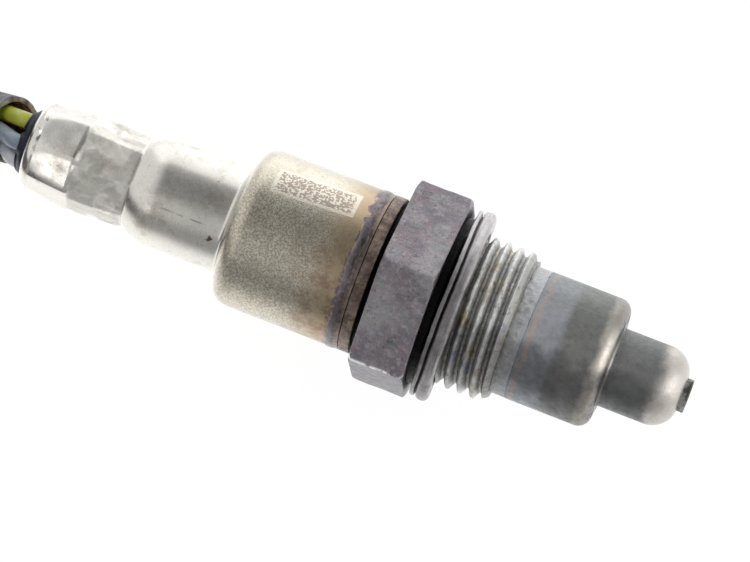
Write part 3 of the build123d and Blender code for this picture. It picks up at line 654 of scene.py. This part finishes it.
def joined(tree, shader, colour, rough, height, depth):
    """Links a finish's colour, roughness and bump."""
    tree.links.new(colour, shader.inputs["Base Color"])
    tree.links.new(rough, shader.inputs["Roughness"])
    bump = add_node(tree, "Bump", {"Strength": 0.6, "Distance": depth * MM, "Height": height})
    tree.links.new(bump.outputs[0], shader.inputs["Normal"])

def grained(tree, shader, place, colour, scale, roughness, depth, edges=(0.3, 0.75, 0.7), lines_over=None):
    """Links a colour, and a grain that sets the bump and, between two values, the roughness."""
    grain = masked(tree, place, scale, *edges)
    height = grain if lines_over is None else computed(tree, "ADD", grain, lines_over)
    joined(tree, shader, colour, ramped(tree, grain, 0.0, 1.0, *roughness), height, depth)

body_steel, tree, shader, place = new_material("body_steel", metallic=0.9)
x, reach, angle = polar(tree, place)
around = computed(tree, "ABSOLUTE", angle)
scale_grey = (0.168, 0.163, 0.184)
colour = layered(tree, place, scale_grey, [
    ((0.235, 0.19, 0.204), 1.0, 600, 0.4, 0.62, 0.75),      # purple scale
    ((0.36, 0.35, 0.375), 1.0, 1500, 0.48, 0.72, 0.7),      # light scale
    ((0.36, 0.362, 0.36), 0.55, 170, 0.44, 0.66, 0.7),      # handled places
    ((0.15, 0.085, 0.075), 0.5, 800, 0.56, 0.68, 0.75),     # rust
    ((0.045, 0.042, 0.048), 0.6, 1900, 0.57, 0.66, 0.7),    # pits
    ((0.6, 0.59, 0.61), 0.55, 2900, 0.6, 0.68, 0.8),        # flakes
])
# painted shade: the body's underside, below -90 degrees and fully below -120, is coloured darker
colour = tinted(tree, colour, (0.13, 0.13, 0.135), ramped(tree, angle, -90, -120), 0.6)
# a painted highlight along the hexagon's lower corner, broken up like worn metal
corner_wear_and_glint = product(tree, ramped(tree, around, 178.6, 179.6), masked(tree, place, 700, 0.4, 0.52))
colour = tinted(tree, colour, (0.85, 0.85, 0.85), corner_wear_and_glint)
# painted shade: the thread's roots are coloured darker than its crests
crest = ramped(tree, reach, 8.1, 8.55)
thread_colour = blended(tree, crest, (0.27, 0.265, 0.255), (0.62, 0.63, 0.62))
thread_colour = layered(tree, place, thread_colour, [
    ((0.42, 0.36, 0.25), 1.0, 260, 0.5, 0.66),              # straw heat tint
    ((0.3, 0.33, 0.44), 1.0, 310, 0.58, 0.7),               # blue heat tint
    ((0.85, 0.84, 0.82), 0.6, 2200, 0.5, 0.66, 0.8),        # scratches
    ((0.06, 0.055, 0.05), 0.7, 1300, 0.52, 0.66, 0.8),      # dirt
])
thread_colour = tinted(tree, thread_colour, (0.2, 0.195, 0.185), ramped(tree, x, 5.3, 5.7), 0.6)
in_thread = ramped(tree, x, -1.2, -0.5)
colour = tinted(tree, colour, thread_colour, in_thread)
nose_colour = layered(tree, place, (0.29, 0.29, 0.295), [
    ((0.46, 0.465, 0.475), 1.0, 1500, 0.36, 0.66, 0.75),
])
nose_colour = tinted(tree, nose_colour, (0.39, 0.4, 0.425), ramped(tree, x, 7.3, 8.1), 0.7)
colour = tinted(tree, colour, nose_colour, ramped(tree, x, 6.3, 6.5))
collar_colour = layered(tree, place, (0.1, 0.075, 0.065), [
    ((0.19, 0.14, 0.125), 1.0, 480, 0.42, 0.6),
    ((0.34, 0.28, 0.2), 0.6, 900, 0.46, 0.64, 0.75),        # straw heat tint
])
colour = tinted(tree, colour, collar_colour, ramped(tree, x, -9.9, -10.0))
# the narrow gaps beside the hexagon are painted near black: painted shade between the parts
rear_gap = between(tree, x, (-10.1, -9.98), (-9.2, -9.32))
front_gap = between(tree, x, (-2.9, -2.78), (-1.0, -1.2))
gap_shade = product(tree, computed(tree, "ADD", rear_gap, front_gap), ramped(tree, reach, 10.9, 10.4))
colour = tinted(tree, colour, (0.006, 0.006, 0.006), gap_shade)
# painted shade over the lower side of the thread and nose
lower_shade = product(tree, lower_side_shade(tree, place, angle), in_thread)
colour = tinted(tree, colour, (0.03, 0.03, 0.032), lower_shade, 0.45)
grained(tree, shader, place, colour, 1500, (0.38, 0.54), 0.1)
finished(mesh, "steel_body", body_steel, ["hex_body"], crease=30)

# ---------------------------------------------------------------- rear shell
# Drawn from thin stainless tube. Its wide end is laser-welded to the body, and its narrow end is
# crimped on the grommet by eight jaws that strike twice and leave their flats.

shell_front = -11.43
shell_radius = 9.35
shoulder_front = -25.2
shoulder_rear = -27.5
shoulder_round = 2.3
fillet_round = 0.5
middle_radius = 6.47
middle_rear = -36.0
barrel_round = 6.6
groove = (-39.6, 5.402)
fullest = (-44.5, 5.93)
rim = (-51.4, 5.27)
rim_round = 1.3
jaw_border = -46.8                  # between the marks of the two sets of jaws
jaw_depths = (5.202, 5.45, 5.07)    # from the axis to the flats, at the groove, the border and the rim
front_jaws = radians(46.8)
rear_jaws = radians(38.5)

def arc(x, radius, wide, high, angles):
    """Points round (x, radius) on an arc of these half widths, at these angles in degrees."""
    return [(x + wide * cos(radians(a)), radius + high * sin(radians(a))) for a in angles]

def crimp_line(x):
    """The turned line of the crimp, through its ends and its fullest place."""
    line = 0.0
    for spot, one, two in ((groove, fullest, rim), (fullest, groove, rim), (rim, groove, fullest)):
        line += spot[1] * (x - one[0]) * (x - two[0]) / ((spot[0] - one[0]) * (spot[0] - two[0]))
    return line

def jaw_line(x):
    """How far the jaws' flats stand from the axis."""
    at_groove, at_border, at_rim = jaw_depths
    if x > jaw_border:
        return at_border + (at_groove - at_border) * (x - jaw_border) / (groove[0] - jaw_border)
    return at_rim + (at_border - at_rim) * (x - rim[0]) / (jaw_border - rim[0])

def shell_radius_at(x, y, z, radius):
    """The flats that the front and the rear jaws struck, and slight waves elsewhere."""
    if -51.5 < x < -39.65 and radius > 5.1:
        marks = []
        for jaws, ease in ((rear_jaws, 0.34), (front_jaws, 0.5)):
            flat = jaw_line(x) / cos((atan2(z, y) - jaws) % (pi / 4) - pi / 8)
            share = min(max(0.5 + 0.5 * (flat - radius) / ease, 0), 1)
            marks.append(flat + (radius - flat) * share - ease * share * (1 - share))
        patch = eased(noise.noise(Vector((x * 0.42, y * 0.5, z * 0.5))) * 3 + 0.5)
        marks[1] -= 0.04 + 0.07 * patch
        marks[1] += noise.noise(Vector((x * 0.7, y * 0.8, z * 0.8 + 5))) * 0.05
        wave = noise.noise(Vector((x * 0.5, y * 0.6, z * 0.6))) * 0.03
        return marks[0] + (marks[1] - marks[0]) * eased((x + 46.75) / 0.9) + wave
    if radius > 6.2:
        return radius + noise.noise(Vector((x * 0.35, y * 0.3, z * 0.3))) * 0.02
    return None

outline = [(shell_front, 8.86), (shell_front, 9.28), (-11.49, shell_radius)]
outline += [(x, shell_radius) for x in stepped(-11.7, shoulder_front, 0.4)]
outline += arc(
    shoulder_front, shell_radius - shoulder_round, shoulder_round, shoulder_round, range(98, 179, 8)
)
outline += [(shoulder_rear, 7.05), (shoulder_rear, 6.97)]
outline += arc(-28.0, 6.97, fillet_round, fillet_round, (-20, -40, -60, -80, -90))
outline += [(x, middle_radius) for x in stepped(-28.3, middle_rear, 0.4)]
outline += [
    (x, -0.13 + sqrt(barrel_round**2 - (x - middle_rear) ** 2)) for x in stepped(-36.2, groove[0], 0.17)
]
outline += [(x, crimp_line(x)) for x in stepped(-39.75, rim[0], 0.15)]
outline += arc(rim[0], rim[1] - rim_round, rim_round, rim_round, range(100, 181, 10))
outline += [(-52.7, 3.9), (-52.2, 3.85), (rim[0], 4.75), (fullest[0], 5.4), (groove[0], 4.9)]
outline += [(middle_rear, 5.97), (-28.5, 5.97), (-27.0, 6.5), (shoulder_front, 8.86)]
mesh = spun(outline, 288, closed=True)
turned_to(mesh, shell_radius_at)

# from the straw tint to the body: violet, blue-grey, near black and brown
scorch_tints = [
    (0.0, (0.2, 0.145, 0.145)), (0.22, (0.13, 0.105, 0.118)), (0.42, (0.152, 0.138, 0.15)),
    (0.62, (0.075, 0.064, 0.064)), (0.8, (0.13, 0.095, 0.08)), (1.0, (0.2, 0.158, 0.135)),
]
rust_place = Vector((-29.0, -5.95, 2.55)) * MM
scratch_angle = 144.2
laser_x = -19.35
laser_angle = 87.0
laser_lean = 0.41        # degrees per millimetre
satin = (0.6, 0.585, 0.55)
olive = (0.58, 0.546, 0.463)
shell_steel, tree, shader, place = new_material("shell_steel", metallic=1.0)
x, _, angle = polar(tree, place)
around = computed(tree, "ABSOLUTE", angle)
colour = layered(tree, place, satin, [((0.66, 0.64, 0.59), 1.0, 130, 0.4, 0.65)])
wide = ramped(tree, x, -27.6, -26.2)
colour = tinted(tree, colour, olive, wide)
pores = masked(tree, place, 5200, 0.36, 0.62, 0.5)
speckled = product(tree, pores, ramped(tree, wide, 0.0, 1.0, 0.12, 0.78))
speckled = product(tree, speckled, ramped(tree, around, 75, 110, 0.4, 1.0))
colour = tinted(tree, colour, (0.25, 0.225, 0.172), speckled)
colour = layered(tree, place, colour, [((0.34, 0.28, 0.22), 0.45, 240, 0.5, 0.66, 0.75)])
rust_gap = add_node(tree, "VectorMath", {0: place, 1: rust_place}, operation="DISTANCE")
rust_gap = product(tree, rust_gap.outputs["Value"], 1 / MM)
rust_gap = computed(tree, "MULTIPLY_ADD", masked(tree, place, 2400, 0.3, 0.7), 0.4, rust_gap)
colour = tinted(tree, colour, (0.1, 0.05, 0.03), ramped(tree, rust_gap, 0.75, 0.35))
scratch = computed(tree, "ABSOLUTE", computed(tree, "SUBTRACT", angle, scratch_angle))
scratch = product(tree, ramped(tree, scratch, 1.1, 0.5), masked(tree, place, 900, 0.36, 0.56))
scratch = product(tree, scratch, between(tree, x, (-35.6, -35.2), (-29.6, -30.4)))
colour = tinted(tree, colour, (0.16, 0.14, 0.12), scratch, 0.6)
colour = layered(tree, place, colour, [((0.17, 0.15, 0.12), 0.5, 1500, 0.62, 0.7, 0.7)])
edge_x = strayed(tree, place, x, 1.5, 320, 0.2, 0.8, 0.75)
colour = tinted(tree, colour, (0.36, 0.285, 0.19), ramped(tree, edge_x, -18.4, -13.4))
# a rust-brown bloom on the side towards the road
bloom = product(tree, ramped(tree, edge_x, -20.5, -14.0), masked(tree, place, 520, 0.42, 0.6, 0.8))
bloom = product(tree, bloom, ramped(tree, around, 108, 135))
colour = tinted(tree, colour, (0.2, 0.125, 0.085), bloom, 0.7)
scorch_x = strayed(tree, place, x, 0.525, 320, 0.2, 0.8, 0.75)
scorch_x = strayed(tree, place, scorch_x, 0.7, 1100, 0.3, 0.7, 0.7)
scorch = colour_ramp(tree, ramped(tree, scorch_x, -13.4, -11.3), scorch_tints)
scorch = layered(tree, place, scorch, [((0.19, 0.172, 0.178), 1.0, 1700, 0.46, 0.74, 0.7)])
colour = tinted(tree, colour, scorch, ramped(tree, scorch_x, -13.3, -12.95))
# a laser-cleaned patch with a speckled mark burnt into it
off_x = computed(tree, "ADD", x, -laser_x)
off_angle = computed(tree, "MULTIPLY_ADD", off_x, laser_lean, angle)
off_angle = computed(tree, "ABSOLUTE", computed(tree, "SUBTRACT", off_angle, laser_angle))
off_x = computed(tree, "ABSOLUTE", off_x)
cleaned = product(tree, ramped(tree, off_x, 4.95, 4.85), ramped(tree, off_angle, 12.1, 11.5))
colour = tinted(tree, colour, (0.68, 0.63, 0.55), cleaned, 0.6)
burnt = product(tree, ramped(tree, off_x, 4.5, 4.42), ramped(tree, off_angle, 9.5, 9.0))
burnt = product(tree, burnt, masked(tree, place, 4000, 0.44, 0.5, 0.2))
colour = tinted(tree, colour, (0.24, 0.195, 0.17), burnt, 0.8)
struck = between(tree, x, (-46.5, -46.1), (-39.6, -40.2))
rubbed = product(tree, struck, masked(tree, place, 330, 0.5, 0.57, 0.4))
colour = tinted(tree, colour, (0.88, 0.85, 0.8), rubbed, 0.5)
smeared = product(tree, struck, masked(tree, place, 470, 0.52, 0.6, 0.5))
colour = tinted(tree, colour, (0.34, 0.33, 0.31), smeared, 0.4)
grain = masked(tree, place, 1800, 0.2, 0.85, 0.6)
burnished = ramped(tree, x, -46.2, -46.6)
rough = ramped(tree, grain, 0.0, 1.0, 0.22, 0.3)
for mask, amount in ((wide, 0.08), (struck, 0.27), (burnished, -0.08)):
    rough = computed(tree, "MULTIPLY_ADD", mask, amount, rough)
hair = hairlines(tree, place, 700.0, 9000.0)
height = computed(tree, "MULTIPLY_ADD", hair, 0.6, product(tree, grain, 0.4))
height = product(tree, height, ramped(tree, wide, 0.0, 1.0, 0.35, 1.0))
height = computed(tree, "MULTIPLY_ADD", product(tree, pores, wide), -0.5, height)
joined(tree, shader, colour, rough, height, 0.018)
finished(mesh, "crimped_shell", shell_steel, ["rear_shell"], crease=35)

# ---------------------------------------------------------------- weld bead
# The laser weld that holds the shell to the body: a low, narrow ring all the way round, rippled
# along its edges and tinted like the end of the shell.

bead_middle = -12.45
bead_half = 0.6
bead_rise = 0.16
outline = arc(bead_middle, 9.3, bead_half, bead_rise, range(0, 181, 15))
outline += [(bead_middle - bead_half, 9.1), (bead_middle + bead_half, 9.1)]
mesh = spun(outline, 288, closed=True)
for vert in mesh.verts:
    _, y, z = vert.co / MM
    if sqrt(y * y + z * z) > 9.3:
        vert.co.x += noise.noise(Vector((y, z, 3.0)) * 0.8) * 0.3 * MM
finished(mesh, "weld_bead", shell_steel, crease=60)

# ---------------------------------------------------------------- sealing ring
# A strip of soft steel folded twice into a springy ring. It is trapped behind the thread, so it turns
# freely but can't come off.

folded_thickness = 2.05  # of the section drawn here
ring_thickness = 2.15    # sprung open a little
ring_lean = radians(3.3)
lean_side = radians(39.5)
ring_section = [(0.0, 9.3), (0.0, 10.75), *arc(-0.6, 10.75, 0.6, 0.6, range(15, 91, 15))]
ring_section += arc(-0.9, 10.85, 0.45, 0.47, range(90, 181, 15))
ring_section += [(-1.37, 10.6), (-1.43, 10.5), (-1.5, 10.6), (-1.55, 11.0), (-1.62, 11.1), (-1.8, 11.14)]
ring_section += [(-1.97, 11.1), (-2.05, 11.0), (-2.05, 9.8), (-1.9, 9.4), (-1.55, 9.25), (-1.1, 9.35)]
ring_section += [(-0.9, 9.7), (-0.88, 10.5), (-0.65, 10.7), (-0.46, 10.5), (-0.46, 9.3), (-0.4, 9.25)]
ring_section += [(-0.06, 9.25)]
opened = ring_thickness / folded_thickness
mesh = spun([(x * opened, radius) for x, radius in ring_section], 288, closed=True)
for vert in mesh.verts:
    bent = noise.noise(vert.co / MM * 0.22) * 0.12 + noise.noise(vert.co / MM * 0.9) * 0.03
    vert.co.x += bent * MM
lean = Matrix.Rotation(ring_lean, 3, Vector((0, cos(lean_side), sin(lean_side))))
bmesh.ops.rotate(mesh, verts=mesh.verts, cent=(-1 * MM, 0, 0), matrix=lean)
ring_steel, tree, shader, place = new_material("ring_steel", metallic=0.95)
_, _, angle = polar(tree, place)
colour = layered(tree, place, (0.17, 0.163, 0.167), [
    ((0.3, 0.29, 0.294), 1.0, 300, 0.4, 0.65),
    ((0.15, 0.115, 0.11), 1.0, 900, 0.56, 0.72, 0.75),
])
# painted sheen: the ring's upper side is coloured lighter
upper_side_sheen = between(tree, angle, (118, 84), (-120, -60))
colour = tinted(tree, colour, (0.62, 0.6, 0.61), upper_side_sheen, 0.5)
hair = hairlines(tree, place, 260.0, 6500.0)
colour = tinted(tree, colour, (0.08, 0.07, 0.07), ramped(tree, hair, 0.52, 0.66), 0.55)
grained(tree, shader, place, colour, 1600, (0.34, 0.5), 0.06, lines_over=hair)
finished(mesh, "folded_ring", ring_steel, ["sealing_ring"], crease=40)

# ---------------------------------------------------------------- shields
# Two deep-drawn cups of heat-resisting steel. The outer one has gas inlets in its shoulder, and the
# end of the inner one shows through the tip of the outer one.

shield_steel, tree, shader, place = new_material("shield_steel", metallic=0.9)
x, _, angle = polar(tree, place)
edge_x = strayed(tree, place, x, 1.0, 220, 0.2, 0.8, 0.7)
rubbed = ramped(tree, edge_x, 22.8, 24.6)
colour = layered(tree, place, (0.21, 0.215, 0.205), [((0.27, 0.275, 0.265), 1.0, 160, 0.4, 0.65)])
for over, share, mask in (
    ((0.39, 0.405, 0.435), 1.0, ramped(tree, edge_x, 12.6, 11.4)),                  # blued at the weld
    ((0.52, 0.43, 0.4), 0.85, between(tree, edge_x, (8.5, 8.85), (9.35, 9.0))),     # tan line
    ((0.62, 0.57, 0.5), 0.75, between(tree, edge_x, (15.9, 16.7), (18.2, 17.6))),   # straw tint and painted highlight on the shoulder's round corner
    ((0.2, 0.205, 0.205), 0.5, ramped(tree, x, 18.0, 19.0)),                        # tip
    ((0.085, 0.09, 0.088), 0.6, between(tree, angle, (112, 86), (-60, -20))),       # painted shade over the upper side
    # rubbed metal and a painted highlight: the dome at the tip is coloured lighter
    ((0.72, 0.67, 0.61), 0.62, rubbed),
):
    colour = tinted(tree, colour, over, mask, share)
# painted shade over the lower side of the shields, in patches, weaker on the dome
lower_shade = product(tree, lower_side_shade(tree, place, angle), ramped(tree, rubbed, 0.0, 1.0, 1.0, 0.35))
shade_patches = ramped(tree, masked(tree, place, 260, 0.3, 0.7, 0.7), 0.0, 1.0, 0.52, 0.74)
colour = tinted(tree, colour, (0.035, 0.036, 0.037), product(tree, lower_shade, shade_patches))
hair = hairlines(tree, place, 260.0, 7000.0)
grained(tree, shader, place, colour, 1500, (0.4, 0.54), 0.03, lines_over=hair)

inner_steel, tree, shader, place = new_material("inner_steel", metallic=0.8)
colour = layered(tree, place, (0.06, 0.058, 0.055), [((0.3, 0.29, 0.27), 1.0, 700, 0.4, 0.6)])
grained(tree, shader, place, colour, 1500, (0.5, 0.7), 0.1)

# ---------------------------------------------------------------- grommet
# A dark navy fluororubber plug, squeezed in the crimp. Its end stands out as a dome, with a low
# collar round each wire.

grommet_front = -50.0
grommet_reach = 3.94
dome_front = -52.7
dome_rise = 1.2
dome_steps = 30
cuff_reach = 1.45
cuff_slope = 0.35
cuff_rise = 0.3
wire_reach = 2.45
wire_angles = [70.5, 142.5, 214.5, 286.5, 358.5]
wire_spots = [Vector((cos(radians(a)), sin(radians(a)))) * wire_reach for a in wire_angles]
outline = [(grommet_front, 0.0), (grommet_front, grommet_reach), (-52.6, grommet_reach)]
for index in range(dome_steps + 1):
    lift = radians(90 * (1 - index / dome_steps))
    outline.append((dome_front - dome_rise * cos(lift) ** 0.8, grommet_reach * sin(lift)))
mesh = spun(outline, 180)
for vert in mesh.verts:
    x, y, z = vert.co / MM
    if x < -52.65:
        nearest = min((Vector((y, z)) - spot).length for spot in wire_spots)
        vert.co.x -= cuff_rise * eased((cuff_reach - nearest) / cuff_slope) * MM
navy_rubber, tree, shader, place = new_material("navy_rubber")
shader.inputs["Specular IOR Level"].default_value = 0.3
colour = layered(tree, place, (0.004, 0.005, 0.016), [((0.01, 0.012, 0.034), 1.0, 400, 0.4, 0.65)])
grained(tree, shader, place, colour, 2400, (0.35, 0.55), 0.03)
finished(mesh, "rubber_plug", navy_rubber, ["grommet"], crease=50)

# ---------------------------------------------------------------- wires
# Fluoropolymer insulation in five colours over fine nickel strand. Heat and handling have dulled it,
# and grime sits in its grazes.

wire_dirt = (0.1, 0.09, 0.07)

def insulation(name, main, worn):
    """Smooth extruded insulation with slight colour drift and rubbed dirt."""
    made, tree, shader, place = new_material(name, coat_weight=0.15, coat_roughness=0.25)
    colour = layered(tree, place, main, [(worn, 1.0, 240, 0.35, 0.7), (wire_dirt, 1.0, 620, 0.62, 0.78)])
    grained(tree, shader, place, colour, 2200, (0.3, 0.5), 0.02)
    return made

node_paint = {
    "wire_yellow": insulation("yellow_insulation", (0.45, 0.5, 0.03), (0.6, 0.62, 0.09)),
    "wire_grey": insulation("grey_insulation", (0.2, 0.25, 0.33), (0.33, 0.38, 0.46)),
    "wire_white": insulation("white_insulation", (0.72, 0.75, 0.8), (0.85, 0.86, 0.88)),
    "wire_black": insulation("black_insulation", (0.012, 0.012, 0.013), (0.03, 0.03, 0.032)),
    "wire_red": insulation("red_insulation", (0.48, 0.09, 0.025), (0.62, 0.2, 0.05)),
    "sealing_ring": ring_steel,
    "outer_shield": shield_steel,
    "inner_shield": inner_steel,
}

# ---------------------------------------------------------------- inner pieces
# Hidden in the closed body: the zirconia strip, its ceramic and talc packing, the pressure ring, the
# wire guide, and the contact holder with its spring clip and five contacts.


def powdery(name, main, shade, speckled, roughness=(0.55, 0.8)):
    """Fired or pressed powder: a matt body with fine speckle."""
    made, tree, shader, place = new_material(name)
    colour = layered(tree, place, main, [(shade, 1.0, 300, 0.35, 0.7), (speckled, 1.0, 1700, 0.62, 0.7)])
    grained(tree, shader, place, colour, 2600, roughness, 0.03)
    return made

def plated(name, main, shade, roughness=(0.22, 0.38)):
    """Plated or pressed sheet metal with faint tarnish."""
    made, tree, shader, place = new_material(name, metallic=1.0)
    colour = layered(tree, place, main, [(shade, 1.0, 350, 0.35, 0.7)])
    grained(tree, shader, place, colour, 1900, roughness, 0.02)
    return made

steatite = powdery("steatite", (0.72, 0.68, 0.6), (0.8, 0.77, 0.7), (0.45, 0.4, 0.32))
alloy = plated("contact_alloy", (0.52, 0.5, 0.43), (0.66, 0.64, 0.58))
node_paint.update({
    "sensor_element": powdery("zirconia", (0.72, 0.7, 0.62), (0.8, 0.78, 0.72), (0.5, 0.48, 0.42)),
    "front_ceramic": steatite,
    "rear_ceramic": steatite,
    "contact_holder_upper": steatite,
    "contact_holder_lower": steatite,
    "talc_seal": powdery("talc", (0.55, 0.55, 0.5), (0.64, 0.64, 0.6), (0.35, 0.35, 0.32)),
    "wire_guide": powdery("ptfe", (0.8, 0.8, 0.78), (0.88, 0.88, 0.86), (0.7, 0.69, 0.66), (0.35, 0.55)),
    "pressure_ring": plated("pressure_steel", (0.42, 0.41, 0.39), (0.52, 0.51, 0.49)),
    "holder_clip": plated("clip_steel", (0.5, 0.49, 0.46), (0.6, 0.59, 0.56)),
})
for name in cad_nodes:
    if name.startswith("contact_") and name not in node_paint:
        node_paint[name] = alloy

# ---------------------------------------------------------------- plug
# Moulded in black glass-filled nylon, with a rubber boot on its cable end, a rust-red face seal, a
# springy latch, tin-plated terminals and the small trimming resistor in its side.


def moulded(name, main, worn, roughness=(0.42, 0.62)):
    """Moulded plastic or rubber with a fine spark-eroded grain and rubbed places."""
    made, tree, shader, place = new_material(name)
    colour = layered(tree, place, main, [(worn, 1.0, 150, 0.45, 0.75)])
    grained(tree, shader, place, colour, 3200, roughness, 0.05, edges=(0.35, 0.65, 0.5))
    return made

node_paint.update({
    "plug_housing": moulded("black_nylon", (0.018, 0.018, 0.019), (0.045, 0.045, 0.046)),
    "plug_latch": moulded("latch_nylon", (0.022, 0.022, 0.024), (0.06, 0.06, 0.062)),
    "plug_boot": moulded("boot_rubber", (0.014, 0.014, 0.014), (0.035, 0.034, 0.033), (0.6, 0.8)),
    "plug_face_seal": moulded("seal_rubber", (0.3, 0.06, 0.03), (0.4, 0.1, 0.05), (0.5, 0.7)),
    "trim_resistor": moulded("resistor_case", (0.02, 0.02, 0.022), (0.05, 0.05, 0.05), (0.3, 0.45)),
    "plug_terminals": plated("tinned_copper", (0.6, 0.6, 0.58), (0.74, 0.73, 0.7)),
})
for name, paint in node_paint.items():
    data = cad_nodes[name].data
    data.materials.clear()
    data.materials.append(paint)
